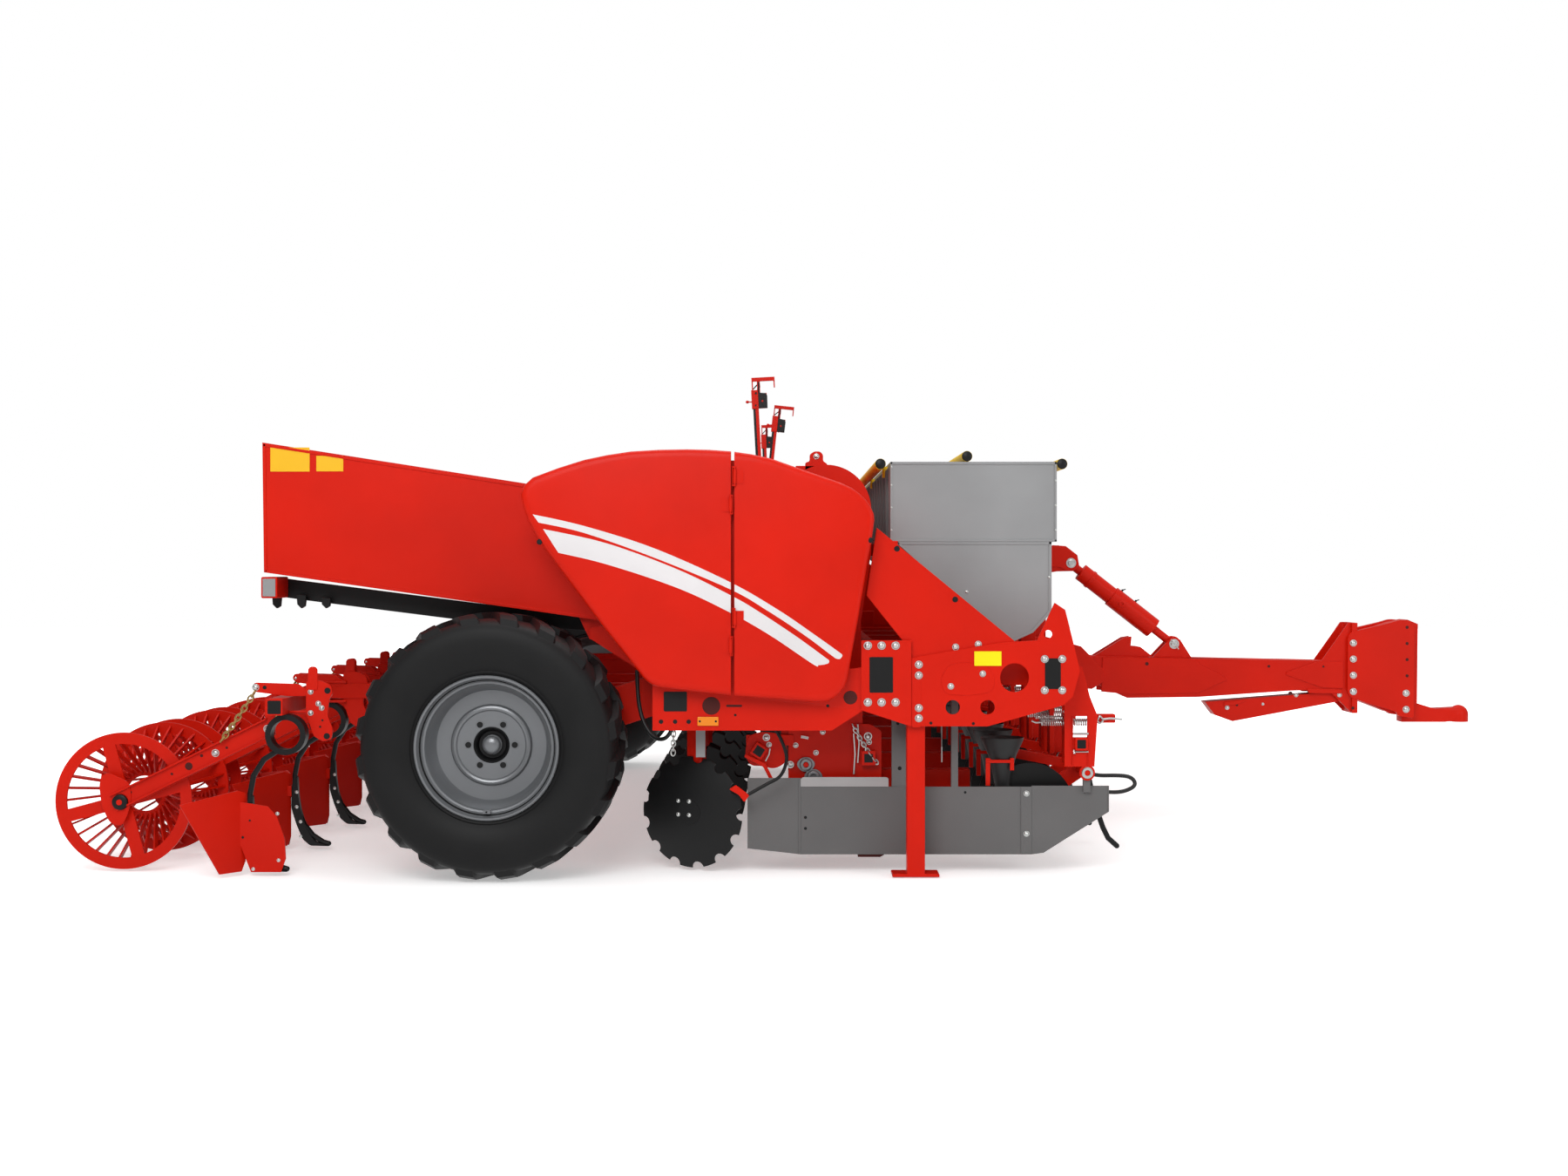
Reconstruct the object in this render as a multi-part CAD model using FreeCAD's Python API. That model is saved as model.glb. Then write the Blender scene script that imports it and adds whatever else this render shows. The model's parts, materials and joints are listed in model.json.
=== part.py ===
import FreeCAD, Part
import math
import os
from FreeCAD import Vector

# Six-row trailed potato planter. Millimetres, +X forward to the hitch, +Y left, +Z up.
# Lengths along X are counted from the wheel axle and heights from the ground; every
# piece is moved back by X_MID at export, so the origin is under the middle of the machine.

# --- rows ---
ROW_COUNT = 6
ROW_PITCH = 750.0
PIN_CLEARANCE = 0.05
MOVING_GAP = 8.0

# --- wheels ---
WHEEL_TRACK = 4500.0
TYRE_RADIUS = 570.0
TYRE_WIDTH = 500.0
TYRE_BORE_RADIUS = 283.0
LUG_COUNT = 20
LUG_HEIGHT = 28.0
LUG_THICKNESS = 42.0
RIM_FLANGE_RADIUS = 306.0
RIM_FLANGE_THICKNESS = 14.0
RIM_WIDTH = 420.0
RIM_WALL = 12.0
RIM_DISC_X = 60.0
HUB_BOLT_COUNT = 6
HUB_BOLT_CIRCLE = 205.0
HUB_BOLT_RADIUS = 11.0
HUB_RADIUS = 75.0
AXLE_RADIUS = 35.0
WHEEL_ARM_THICKNESS = 110.0
WHEEL_ARM_HEIGHT = 160.0
WHEEL_ARM_GAP = 40.0

# --- frame ---
FRAME_ROW_OFFSET = 475.0
PLATE = 10.0
REAR_BEAM_X = 792.0
REAR_BEAM_Z = 759.0
REAR_BEAM_LENGTH = 100.0
REAR_BEAM_HEIGHT = 86.0
MID_BEAM_X = 1675.0
MID_BEAM_Z = 874.0
MID_BEAM_LENGTH = 100.0
MID_BEAM_HEIGHT = 152.0
FRONT_BEAM_X = 2411.0
FRONT_BEAM_Z = 880.0
FRONT_BEAM_LENGTH = 82.0
FRONT_BEAM_HEIGHT = 142.0
RAIL_WIDTH = 80.0
RAIL_LOW = 820.0
RAIL_HEIGHT = 110.0
SIDE_PLATE_REAR_X = 694.0
SIDE_PLATE_BOTTOM = 634.0
SIDE_PLATE_TOP = 900.0
SIDE_PLATE_FRONT_X = 2527.0
JOINT_PLATE_REAR_X = 1589.0
JOINT_PLATE_FRONT_X = 1803.0
JOINT_PLATE_TOP = 1021.0
SIDE_HOLE_RADIUS = 62.0
PEAK_HOLE_RADIUS = 18.0

# --- rear hopper ---
HOPPER_HALF_WIDTH = 2150.0
HOPPER_WALL = 6.0
HOPPER_TOP_REAR = (-1035.0, 1883.0)
HOPPER_TOP_FRONT = (121.0, 1703.0)
HOPPER_LOW_FRONT = (454.0, 1102.0)
HOPPER_LOW_REAR = (-1028.0, 1312.0)
HOPPER_PIVOT_X = 430.0
HOPPER_PIVOT_Z = 1045.0
HOPPER_PIN_RADIUS = 20.0
HOPPER_LUG_THICKNESS = 12.0
HOPPER_LUG_INSET = 50.0
HOPPER_BRACKET_PLATE = 14.0
HOPPER_TILT = 18.0

# --- feed trough and cup belts ---
TROUGH_HALF_WIDTH = 2090.0
TROUGH_WALL = 5.0
TROUGH_FRONT_X = 1230.0
TROUGH_TOP = 1500.0
TROUGH_FLOOR = 855.0
TROUGH_REAR_X = 505.0
TROUGH_REAR_Z = 1065.0
HOUSING_HALF_WIDTH = 190.0
HOUSING_REAR_X = 1245.0
HOUSING_FRONT_X = 1645.0
HOUSING_FOOT_X = 1600.0
HOUSING_BOTTOM = 575.0
HOUSING_ARC_Z = 1590.0
HOUSING_WALL = 5.0

# --- side cover doors ---
COVER_STAND_OUT = 90.0
DOOR_THICKNESS = 28.0
DOOR_SPLIT_X = 1040.0
DOOR_SEAM = 14.0
DOOR_SWING = 80.0
HINGE_AXIS_OUT = 8.0
HINGE_PIN_RADIUS = 4.0
HINGE_KNUCKLE_RADIUS = 7.5
HINGE_KNUCKLE_LENGTH = 60.0
HINGE_WEB = 3.0
HINGE_SPLIT_GAP = 1.5
PILLAR_LOW = 805.0
PILLAR_HIGH = 1790.0

# --- fertiliser tank ---
TANK_HALF_WIDTH = 2050.0
TANK_WALL = 6.0
TANK_REAR_X = 1731.0
TANK_FRONT_X = 2471.0
TANK_TOP = 1804.0
TANK_STEP_Z = 1448.0
GUARD_TUBE_RADIUS = 24.0

# --- adjusting levers ---
LEVER_X = 1152.0
LEVER_SIZE = 26.0
LEVER_TUBE = 70.0
LEVER_BASE = 1580.0

# --- furrow openers ---
OPENER_REAR_X = 1580.0
OPENER_FRONT_X = 2098.0
OPENER_LOW = 340.0
OPENER_TOP = 421.0
OPENER_WIDTH = 90.0
OPENER_WALL = 8.0

# --- skirts ---
SKIRT_ROW_OFFSET = 300.0
SKIRT_WALL = 5.0
SKIRT_POST = 20.0
SKIRT_POST_X = (1730.0, 1797.0)

# --- covering discs ---
DISC_RADIUS = 245.0
DISC_X = 853.0
DISC_Z = 256.0
DISC_ROW_OFFSET = 250.0
DISC_YAW = 25.0
DISC_DISH = 32.0
DISC_PLATE = 5.0
DISC_NOTCHES = 13
DISC_NOTCH_RADIUS = 27.0
DISC_PIN_RADIUS = 20.0
DISC_HUB_RADIUS = 55.0
DISC_HUB_LENGTH = 34.0

# --- fertiliser coulters ---
COULTER_RADIUS = 190.0
COULTER_X = 2351.0
COULTER_Z = 277.0
COULTER_ROW_OFFSET = 200.0
COULTER_PIN_RADIUS = 16.0
COULTER_PIVOT_X = 2582.0
COULTER_PIVOT_Z = 437.0
COULTER_SHAFT_RADIUS = 22.0
FRONT_TINE_ROW_OFFSET = 125.0
TOWER_SKIRT_GAP = 25.0
TOWER_PLATE = 10.0
TOWER_BOSS_RADIUS = 34.0
TOWER_WINDOW_X = (2519.0, 2582.0)
TOWER_WINDOW_Z = (592.0, 684.0)

# --- rear ridging frame ---
TOOLBAR_X = -934.0
TOOLBAR_Z = 732.0
TOOLBAR_SIZE = 70.0
TOOLBAR_HALF_WIDTH = 2330.0
ROLLER_X = -1644.0
ROLLER_RADIUS = 300.0
ROLLER_MID_RADIUS = 120.0
ROLLER_GROUND_GAP = 8.0
ROLLER_HALF_WIDTH = 277.0
ROLLER_BARS = 30
ROLLER_RING = 50.0
ROLLER_RING_THICKNESS = 10.0
ROLLER_SPOKE_TURN = -15.0
ROLLER_PIN_RADIUS = 15.0
ROLLER_HUB_RADIUS = 42.0
ROLLER_ARM_GAP = 26.0
ROLLER_ARM_THICKNESS = 10.0
TINE_RADIUS = 12.0
TINE_COIL_RADIUS = 76.0
TINE_COIL_WIDTH = 60.0
TINE_COIL_AHEAD = 34.0
TINE_BACK_X = -1060.0
RIDGER_SWEEP = 50.0
RIDGER_PLATE = 8.0
TOOL_GROUND_GAP = 12.0

# --- hoses ---
HOSE_RADIUS = 9.0
HOSE_ARC_SHARE = 0.45

# --- jacks ---
JACK_X = 1826.0
JACK_SIZE = 78.0
JACK_TOP = 1038.0
JACK_FOOT = 204.0
JACK_FOOT_DEPTH = 120.0
JACK_FOOT_THICKNESS = 14.0
JACK_LIFT = 350.0
JACK_INSET = 65.0
SLEEVE_WALL = 8.0
SLEEVE_SLIP = 0.4
SLEEVE_LOW = 690.0
SLEEVE_HIGH = 900.0

# --- drawbar ---
DRAWBAR_HALF_WIDTH = 80.0
DRAWBAR_PIVOT = (2946.0, 736.0)
DRAWBAR_PIN_RADIUS = 30.0
DRAWBAR_SWING = 10.0
CYLINDER_REAR = (2838.0, 1357.0)
CYLINDER_FRONT = (3407.0, 911.0)
CYLINDER_RADIUS = 48.0
CYLINDER_BORE = 30.0
CYLINDER_BARREL_END = 588.0
ROD_RADIUS = 22.0
CYLINDER_PIN_RADIUS = 20.0
CYLINDER_EYE_RADIUS = 42.0
CYLINDER_EYE_WIDTH = 50.0
ROD_EYE_SLACK = 4.0
LEG_PIVOT = (4337.0, 625.0)
LEG_HALF_WIDTH = 58.0
LEG_PIN_RADIUS = 14.0
LEG_SWING = 80.0
HITCH_FLANGE_X = 4374.0
BALL_X = 4992.0
BALL_Z = 524.0
BALL_RADIUS = 40.5
BALL_CUP_RADIUS = 52.0

ROW_YS = [(i - (ROW_COUNT - 1) / 2) * ROW_PITCH for i in range(ROW_COUNT)]
FURROW_YS = [(i - ROW_COUNT / 2) * ROW_PITCH for i in range(ROW_COUNT + 1)]
INNER_FURROW_YS = FURROW_YS[1:-1]
X_REAR = ROLLER_X - ROLLER_RADIUS
X_FRONT = BALL_X + BALL_CUP_RADIUS
X_MID = (X_REAR + X_FRONT) / 2
WHEEL_Y = WHEEL_TRACK / 2
ROLLER_Z = ROLLER_RADIUS + ROLLER_GROUND_GAP
FRAME_HALF_WIDTH = ROW_YS[-1] + FRAME_ROW_OFFSET
DOOR_OUTER = FRAME_HALF_WIDTH + COVER_STAND_OUT
JACK_OUT = FRAME_HALF_WIDTH - JACK_INSET
HOPPER_LUG_Y = HOPPER_HALF_WIDTH - HOPPER_LUG_INSET
SKIRT_HALF_WIDTH = ROW_YS[-1] + SKIRT_ROW_OFFSET
TOWER_ROW_OFFSET = SKIRT_ROW_OFFSET + TOWER_SKIRT_GAP


def box(x0, x1, y0, y1, z0, z1):
    return Part.makeBox(x1 - x0, y1 - y0, z1 - z0, Vector(x0, y0, z0))


def prism(points, y0, y1):
    """Outline in the X-Z plane, extruded along Y."""
    corners = [Vector(x, y0, z) for x, z in points]
    face = Part.Face(Part.makePolygon(corners + corners[:1]))
    return face.extrude(Vector(0, y1 - y0, 0))


def rod_y(x, z, radius, y0, y1):
    return Part.makeCylinder(radius, y1 - y0, Vector(x, y0, z), Vector(0, 1, 0))


def rod_between(start, end, radius):
    line = Vector(*end) - Vector(*start)
    return Part.makeCylinder(radius, line.Length, Vector(*start), line)


def bar_between(start, end, height, y0, y1):
    """Flat bar between two X-Z points, its height square to its length."""
    dx, dz = end[0] - start[0], end[1] - start[1]
    length = math.hypot(dx, dz)
    ox, oz = -dz / length * height / 2, dx / length * height / 2
    corners = [
        (start[0] + ox, start[1] + oz), (end[0] + ox, end[1] + oz),
        (end[0] - ox, end[1] - oz), (start[0] - ox, start[1] - oz),
    ]
    return prism(corners, y0, y1)


def fuse(shapes):
    return shapes[0].multiFuse(shapes[1:]).removeSplitter() if len(shapes) > 1 else shapes[0]


def mirrored(shape):
    return shape.mirror(Vector(0, 0, 0), Vector(0, 1, 0))


def both_sides(shape):
    return Part.makeCompound([shape, mirrored(shape)])


def save(name, shape):
    os.makedirs("parts", exist_ok=True)
    moved = shape.copy()
    moved.translate(Vector(-X_MID, 0, 0))
    moved.exportStep("parts/" + name + ".step")


# --- wheels ---

def tyre():
    """Agricultural tyre on its own axis (Y), centred on the origin."""
    half = TYRE_WIDTH / 2
    carcass = TYRE_RADIUS - LUG_HEIGHT
    outline = [
        (TYRE_BORE_RADIUS, -half + 45), (TYRE_BORE_RADIUS + 45, -half + 12),
        (carcass - 90, -half), (carcass - 25, -half + 30), (carcass, -half + 120),
        (carcass, half - 120), (carcass - 25, half - 30), (carcass - 90, half),
        (TYRE_BORE_RADIUS + 45, half - 12), (TYRE_BORE_RADIUS, half - 45),
    ]
    corners = [Vector(r, y, 0) for r, y in outline]
    face = Part.Face(Part.makePolygon(corners + corners[:1]))
    ring = face.revolve(Vector(0, 0, 0), Vector(0, 1, 0), 360)
    lugs = []
    for i in range(LUG_COUNT):
        for side in (-1, 1):
            lugs.append(tyre_lug(side, (i + (0.5 if side > 0 else 0)) * 360 / LUG_COUNT))
    return ring.multiFuse(lugs)


def tyre_lug(side, angle):
    """One slanting lug from the crown's middle out to the shoulder."""
    inner = TYRE_RADIUS - LUG_HEIGHT - 60
    half = TYRE_WIDTH / 2
    top = TYRE_RADIUS
    outline = [
        (inner, -12), (top, -12), (top, half - 75), (top - 40, half - 14),
        (top - 95, half - 4), (inner, half - 20),
    ]
    corners = [Vector(r, side * y, -LUG_THICKNESS / 2) for r, y in outline]
    face = Part.Face(Part.makePolygon(corners + corners[:1]))
    lug = face.extrude(Vector(0, 0, LUG_THICKNESS))
    lug.rotate(Vector(0, 0, 0), Vector(1, 0, 0), side * 32)
    limit = Part.makeCylinder(top, TYRE_WIDTH, Vector(0, -half, 0), Vector(0, 1, 0))
    lug = lug.common(limit)
    lug.rotate(Vector(0, 0, 0), Vector(0, 1, 0), angle)
    return lug


def rim():
    """Stepped rim with its disc and hub, outer face towards -Y."""
    half = RIM_WIDTH / 2
    seat = TYRE_BORE_RADIUS
    well = seat - 40
    outer = [
        (seat, -half), (RIM_FLANGE_RADIUS, -half), (RIM_FLANGE_RADIUS, -half - RIM_FLANGE_THICKNESS),
        (seat - RIM_WALL, -half - RIM_FLANGE_THICKNESS), (seat - RIM_WALL, -half + 55),
        (well - RIM_WALL, -half + 85), (well - RIM_WALL, half - 85), (seat - RIM_WALL, half - 55),
        (seat - RIM_WALL, half + RIM_FLANGE_THICKNESS), (RIM_FLANGE_RADIUS, half + RIM_FLANGE_THICKNESS),
        (RIM_FLANGE_RADIUS, half), (seat, half), (seat, half - 60), (well, half - 90),
        (well, -half + 90), (seat, -half + 60),
    ]
    corners = [Vector(r, y, 0) for r, y in outer]
    barrel = Part.Face(Part.makePolygon(corners + corners[:1])).revolve(
        Vector(0, 0, 0), Vector(0, 1, 0), 360)
    disc = rod_y(0, 0, well - RIM_WALL / 2, -RIM_DISC_X - RIM_WALL, -RIM_DISC_X)
    hub = rod_y(0, 0, HUB_RADIUS, -RIM_DISC_X - 45, half - 10)
    bore = rod_y(0, 0, AXLE_RADIUS + PIN_CLEARANCE, -RIM_DISC_X - 20, half)
    whole = fuse([barrel, disc, hub]).cut(bore)
    bolts = []
    for i in range(HUB_BOLT_COUNT):
        turn = math.radians(i * 360 / HUB_BOLT_COUNT)
        x = HUB_BOLT_CIRCLE / 2 * math.cos(turn)
        z = HUB_BOLT_CIRCLE / 2 * math.sin(turn)
        bolts.append(rod_y(x, z, HUB_BOLT_RADIUS, -RIM_DISC_X - 2 * RIM_WALL, RIM_WALL))
    return whole.cut(Part.makeCompound(bolts))


def seated_tyre():
    """The tyre without what its rim takes up."""
    half = RIM_WIDTH / 2
    core = rod_y(0, 0, TYRE_BORE_RADIUS, -TYRE_WIDTH, TYRE_WIDTH)
    flanges = [
        rod_y(0, 0, RIM_FLANGE_RADIUS, -half - RIM_FLANGE_THICKNESS, -half),
        rod_y(0, 0, RIM_FLANGE_RADIUS, half, half + RIM_FLANGE_THICKNESS),
    ]
    return tyre().cut(Part.makeCompound([core] + flanges))


def place_wheel(shape, side):
    """Turn a wheel's outer face outwards and set it on its axle."""
    placed = mirrored(shape) if side > 0 else shape.copy()
    placed.translate(Vector(0, side * WHEEL_Y, TYRE_RADIUS))
    return placed


def wheel_arms():
    """Swing arm inside each wheel, from the rear beam back to the stub axle."""
    inner = WHEEL_Y - TYRE_WIDTH / 2 - WHEEL_ARM_GAP
    y0, y1 = -inner, -inner + WHEEL_ARM_THICKNESS
    end = REAR_BEAM_X - REAR_BEAM_LENGTH / 2
    arm = prism([
        (-90, TYRE_RADIUS - 70), (90, TYRE_RADIUS - 90), (end - 60, REAR_BEAM_Z - 90),
        (end, REAR_BEAM_Z - REAR_BEAM_HEIGHT / 2), (end, REAR_BEAM_Z + REAR_BEAM_HEIGHT / 2),
        (end - 80, REAR_BEAM_Z + 90), (60, TYRE_RADIUS + WHEEL_ARM_HEIGHT / 2),
        (-90, TYRE_RADIUS + 70),
    ], y0, y1)
    stub = rod_y(0, TYRE_RADIUS, AXLE_RADIUS, -WHEEL_Y - RIM_DISC_X - 20, y0)
    return both_sides(fuse([arm, stub]))


# --- frame ---

def beam(x, z, length, height, half_width):
    return box(x - length / 2, x + length / 2, -half_width, half_width, z - height / 2, z + height / 2)


def beams():
    return [
        beam(REAR_BEAM_X, REAR_BEAM_Z, REAR_BEAM_LENGTH, REAR_BEAM_HEIGHT, FRAME_HALF_WIDTH),
        beam(MID_BEAM_X, MID_BEAM_Z, MID_BEAM_LENGTH, MID_BEAM_HEIGHT, FRAME_HALF_WIDTH),
        beam(FRONT_BEAM_X, FRONT_BEAM_Z, FRONT_BEAM_LENGTH, FRONT_BEAM_HEIGHT, FRAME_HALF_WIDTH),
    ]


def side_frame():
    """Right-hand side plates, bored for the cross beams and the inspection holes."""
    inner, outer = -FRAME_HALF_WIDTH + PLATE, -FRAME_HALF_WIDTH
    front = SIDE_PLATE_FRONT_X
    rear_plate = prism([
        (SIDE_PLATE_REAR_X, SIDE_PLATE_BOTTOM), (1463, SIDE_PLATE_BOTTOM), (1594, 719),
        (JOINT_PLATE_FRONT_X, 652), (2131, 652), (2456, 742), (front - 30, 779), (front, 891),
        (front - 30, 1022), (2366, 1022), (2183, 1011), (JOINT_PLATE_FRONT_X, 945),
        (1560, SIDE_PLATE_TOP), (SIDE_PLATE_REAR_X, SIDE_PLATE_TOP),
    ], outer, inner)
    joint_plate = prism([
        (JOINT_PLATE_REAR_X, 723), (JOINT_PLATE_FRONT_X, 652), (JOINT_PLATE_FRONT_X, JOINT_PLATE_TOP),
        (JOINT_PLATE_REAR_X, JOINT_PLATE_TOP),
    ], outer - PLATE, outer)
    peak = prism([
        (2344, 1022), (2419, 1182), (2464, 1152), (2497, 1022),
    ], outer, inner)
    holes = Part.makeCompound([
        rod_y(2247, 861, SIDE_HOLE_RADIUS, outer - 20, inner + 20),
        rod_y(1982, 734, SIDE_HOLE_RADIUS / 2, outer - 20, inner + 20),
        rod_y(2131, 734, SIDE_HOLE_RADIUS / 2, outer - 20, inner + 20),
        rod_y(2391, 1047, PEAK_HOLE_RADIUS, outer - 20, inner + 20),
    ])
    plates = fuse([rear_plate, joint_plate, peak]).cut(holes)
    for item in beams():
        plates = plates.cut(item)
    return plates


def jack_sleeve():
    """Square sleeve on the inside of the side plate that the jack slides in."""
    inner = JACK_SIZE / 2 + SLEEVE_SLIP
    wide = inner + SLEEVE_WALL
    outside = box(JACK_X - wide, JACK_X + wide, -FRAME_HALF_WIDTH + PLATE, -JACK_OUT + wide,
                  SLEEVE_LOW, SLEEVE_HIGH)
    return outside.cut(box(JACK_X - inner, JACK_X + inner, -JACK_OUT - inner, -JACK_OUT + inner,
                           SLEEVE_LOW, SLEEVE_HIGH))


def hinge_pillar():
    """Post behind the doors' seam, with the webs and pins that the doors turn on."""
    inner = -FRAME_HALF_WIDTH
    outer = -DOOR_OUTER + DOOR_THICKNESS + 12
    post = box(DOOR_SPLIT_X - 30, DOOR_SPLIT_X + 30, outer, inner, PILLAR_LOW, PILLAR_HIGH)
    pieces = [post]
    for side, heights in ((-1, (1000, 1600)), (1, (1120, 1720))):
        for height in heights:
            pieces += hinge_pin(side, height, outer)
    return fuse(pieces)


def hinge_axis(side):
    """Plan position of a right-hand door's hinge axis: side -1 rear door, +1 front door."""
    out = HINGE_KNUCKLE_RADIUS + HINGE_SPLIT_GAP
    return DOOR_SPLIT_X + side * out, -DOOR_OUTER - HINGE_AXIS_OUT


def hinge_pin(side, height, pillar_face):
    x, y = hinge_axis(side)
    reach = HINGE_KNUCKLE_LENGTH / 2 + 12
    web = box(DOOR_SPLIT_X - HINGE_WEB / 2, DOOR_SPLIT_X + HINGE_WEB / 2, y - HINGE_PIN_RADIUS,
              pillar_face, height - reach, height + reach)
    pin = Part.makeCylinder(HINGE_PIN_RADIUS, 2 * reach, Vector(x, y, height - reach))
    ears = []
    for z in (height - reach, height + reach - 6):
        ears.append(box(min(x, DOOR_SPLIT_X), max(x, DOOR_SPLIT_X), y - HINGE_PIN_RADIUS,
                        y + HINGE_PIN_RADIUS, z, z + 6))
    window = Part.makeCylinder(HINGE_KNUCKLE_RADIUS + 1.5, HINGE_KNUCKLE_LENGTH + 4,
                               Vector(x, y, height - HINGE_KNUCKLE_LENGTH / 2 - 2))
    return [web.cut(window), pin] + ears


def rails():
    """Lengthwise rails in the furrows, the rear arms and the head for drawbar and ram."""
    half = RAIL_WIDTH / 2
    rear_face = REAR_BEAM_X + REAR_BEAM_LENGTH / 2
    low, high = REAR_BEAM_Z - REAR_BEAM_HEIGHT / 2, REAR_BEAM_Z + REAR_BEAM_HEIGHT / 2
    mid_rear, mid_front = MID_BEAM_X - MID_BEAM_LENGTH / 2, MID_BEAM_X + MID_BEAM_LENGTH / 2
    front_rear = FRONT_BEAM_X - FRONT_BEAM_LENGTH / 2
    pieces = []
    for y in INNER_FURROW_YS:
        pieces.append(prism([
            (rear_face, low), (mid_rear, MID_BEAM_Z - 70), (mid_rear, MID_BEAM_Z + 20), (rear_face, high),
        ], y - half, y + half))
        pieces.append(box(mid_front, front_rear, y - half, y + half, RAIL_LOW, RAIL_LOW + RAIL_HEIGHT))
    for y in (-SKIRT_HALF_WIDTH + 10, SKIRT_HALF_WIDTH - 10):
        pieces.append(box(mid_front, front_rear, y - half, y + half, RAIL_LOW, RAIL_LOW + RAIL_HEIGHT))
    for y in INNER_FURROW_YS:
        if y:
            pieces.append(box(TOOLBAR_X + TOOLBAR_SIZE / 2, REAR_BEAM_X - REAR_BEAM_LENGTH / 2,
                              y - half, y + half, low, low + 70))
    return Part.makeCompound(pieces)


def head_block():
    start = FRONT_BEAM_X + FRONT_BEAM_LENGTH / 2
    return box(start, 2700, -130, 130, 809, 951)


def frame_head():
    """Head in front of the front beam: cheeks for the drawbar and a mast for its ram."""
    start = FRONT_BEAM_X + FRONT_BEAM_LENGTH / 2
    block = head_block()
    mast = box(2590, 2700, -60, 60, 951, 1400)
    ear = prism([
        (2700, 1300), (2700, 1440), (2741, 1455), (2810, 1450), (2874, 1400), (2884, 1340),
        (2850, 1312), (2760, 1310),
    ], -60, -CYLINDER_EYE_WIDTH / 2 - 4)
    px, pz = DRAWBAR_PIVOT
    cheek = prism([
        (start, 700), (px, pz - 70), (px + 60, pz - 30), (px + 60, pz + 40), (px - 60, 900),
        (2700, 951), (start, 951),
    ], -DRAWBAR_HALF_WIDTH - MOVING_GAP - 25, -DRAWBAR_HALF_WIDTH - MOVING_GAP)
    pin = rod_y(px, pz, DRAWBAR_PIN_RADIUS, -DRAWBAR_HALF_WIDTH - 20, DRAWBAR_HALF_WIDTH + 20)
    ax, az = CYLINDER_REAR
    top_pin = rod_y(ax, az, CYLINDER_PIN_RADIUS, -50, 50)
    return fuse([block, mast, ear, mirrored(ear), cheek, mirrored(cheek), pin, top_pin])


# --- hopper and trough ---

def hopper():
    """Full-width tilting hopper, open on top, on lugs under its front edge."""
    outline = [HOPPER_TOP_REAR, HOPPER_TOP_FRONT, HOPPER_LOW_FRONT, HOPPER_LOW_REAR]
    wide = HOPPER_HALF_WIDTH
    body = prism(outline, -wide, wide)
    t = HOPPER_WALL
    inner = prism([
        (HOPPER_TOP_REAR[0] + t, HOPPER_TOP_REAR[1] + 60), (HOPPER_TOP_FRONT[0] - t - 33, HOPPER_TOP_FRONT[1] + 60),
        (HOPPER_LOW_FRONT[0] - 1.9 * t, HOPPER_LOW_FRONT[1] + 1.6 * t),
        (HOPPER_LOW_REAR[0] + t, HOPPER_LOW_REAR[1] + 1.2 * t),
    ], -wide + t, wide - t)
    shell = body.cut(inner)
    lugs = []
    for side in (-1, 1):
        y = side * HOPPER_LUG_Y
        lugs.append(hopper_lug(y - HOPPER_LUG_THICKNESS / 2, y + HOPPER_LUG_THICKNESS / 2))
    return fuse([shell] + lugs)


def hopper_lug(y0, y1):
    x, z = HOPPER_PIVOT_X, HOPPER_PIVOT_Z
    slope = (HOPPER_LOW_REAR[1] - HOPPER_LOW_FRONT[1]) / (HOPPER_LOW_FRONT[0] - HOPPER_LOW_REAR[0])
    floor_at = lambda at: HOPPER_LOW_FRONT[1] + (HOPPER_LOW_FRONT[0] - at) * slope + 1
    plate = prism([
        (x - 80, floor_at(x - 80)), (x - 30, z - 30), (x + 20, z - 30), (x + 20, floor_at(x + 20)),
    ], y0, y1)
    return plate.cut(rod_y(x, z, HOPPER_PIN_RADIUS + PIN_CLEARANCE, y0 - 1, y1 + 1))


def trough():
    """Fixed trough across the machine that the cup belts lift from, on the rear beam."""
    t = TROUGH_WALL
    wide = TROUGH_HALF_WIDTH
    rear = (TROUGH_REAR_X, TROUGH_REAR_Z)
    floor_rear = (700, TROUGH_FLOOR)
    sheet = prism([
        rear, floor_rear, (TROUGH_FRONT_X, TROUGH_FLOOR), (TROUGH_FRONT_X, TROUGH_TOP),
        (TROUGH_FRONT_X - t, TROUGH_TOP), (TROUGH_FRONT_X - t, TROUGH_FLOOR + t),
        (floor_rear[0] + t / 2, TROUGH_FLOOR + t), (rear[0] + t, rear[1] + t),
    ], -wide, wide)
    end = prism([
        rear, floor_rear, (TROUGH_FRONT_X, TROUGH_FLOOR), (TROUGH_FRONT_X, TROUGH_TOP),
        (640, TROUGH_TOP),
    ], -wide, -wide + t)
    feet = [box(REAR_BEAM_X - 30, REAR_BEAM_X + 30, y - 30, y + 30,
                REAR_BEAM_Z + REAR_BEAM_HEIGHT / 2, TROUGH_FLOOR) for y in FURROW_YS[1:-1]]
    return fuse([sheet, end, mirrored(end)] + feet)


def hopper_brackets():
    """Brackets on the rear beam's ends that hold the hopper's pivot pins."""
    x, z = HOPPER_PIVOT_X, HOPPER_PIVOT_Z
    top = REAR_BEAM_Z + REAR_BEAM_HEIGHT / 2
    y1 = -HOPPER_LUG_Y - HOPPER_LUG_THICKNESS / 2 - MOVING_GAP
    y0 = y1 - HOPPER_BRACKET_PLATE
    plate = prism([
        (REAR_BEAM_X - 50, top), (REAR_BEAM_X + 50, top), (REAR_BEAM_X + 50, top + 30),
        (x + 60, z + 20), (x + 20, z + 32), (x - 28, z + 20), (x - 28, z - 24),
    ], y0, y1)
    pin = rod_y(x, z, HOPPER_PIN_RADIUS, y0, -HOPPER_LUG_Y + HOPPER_LUG_THICKNESS / 2)
    return both_sides(fuse([plate, pin]))


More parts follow.
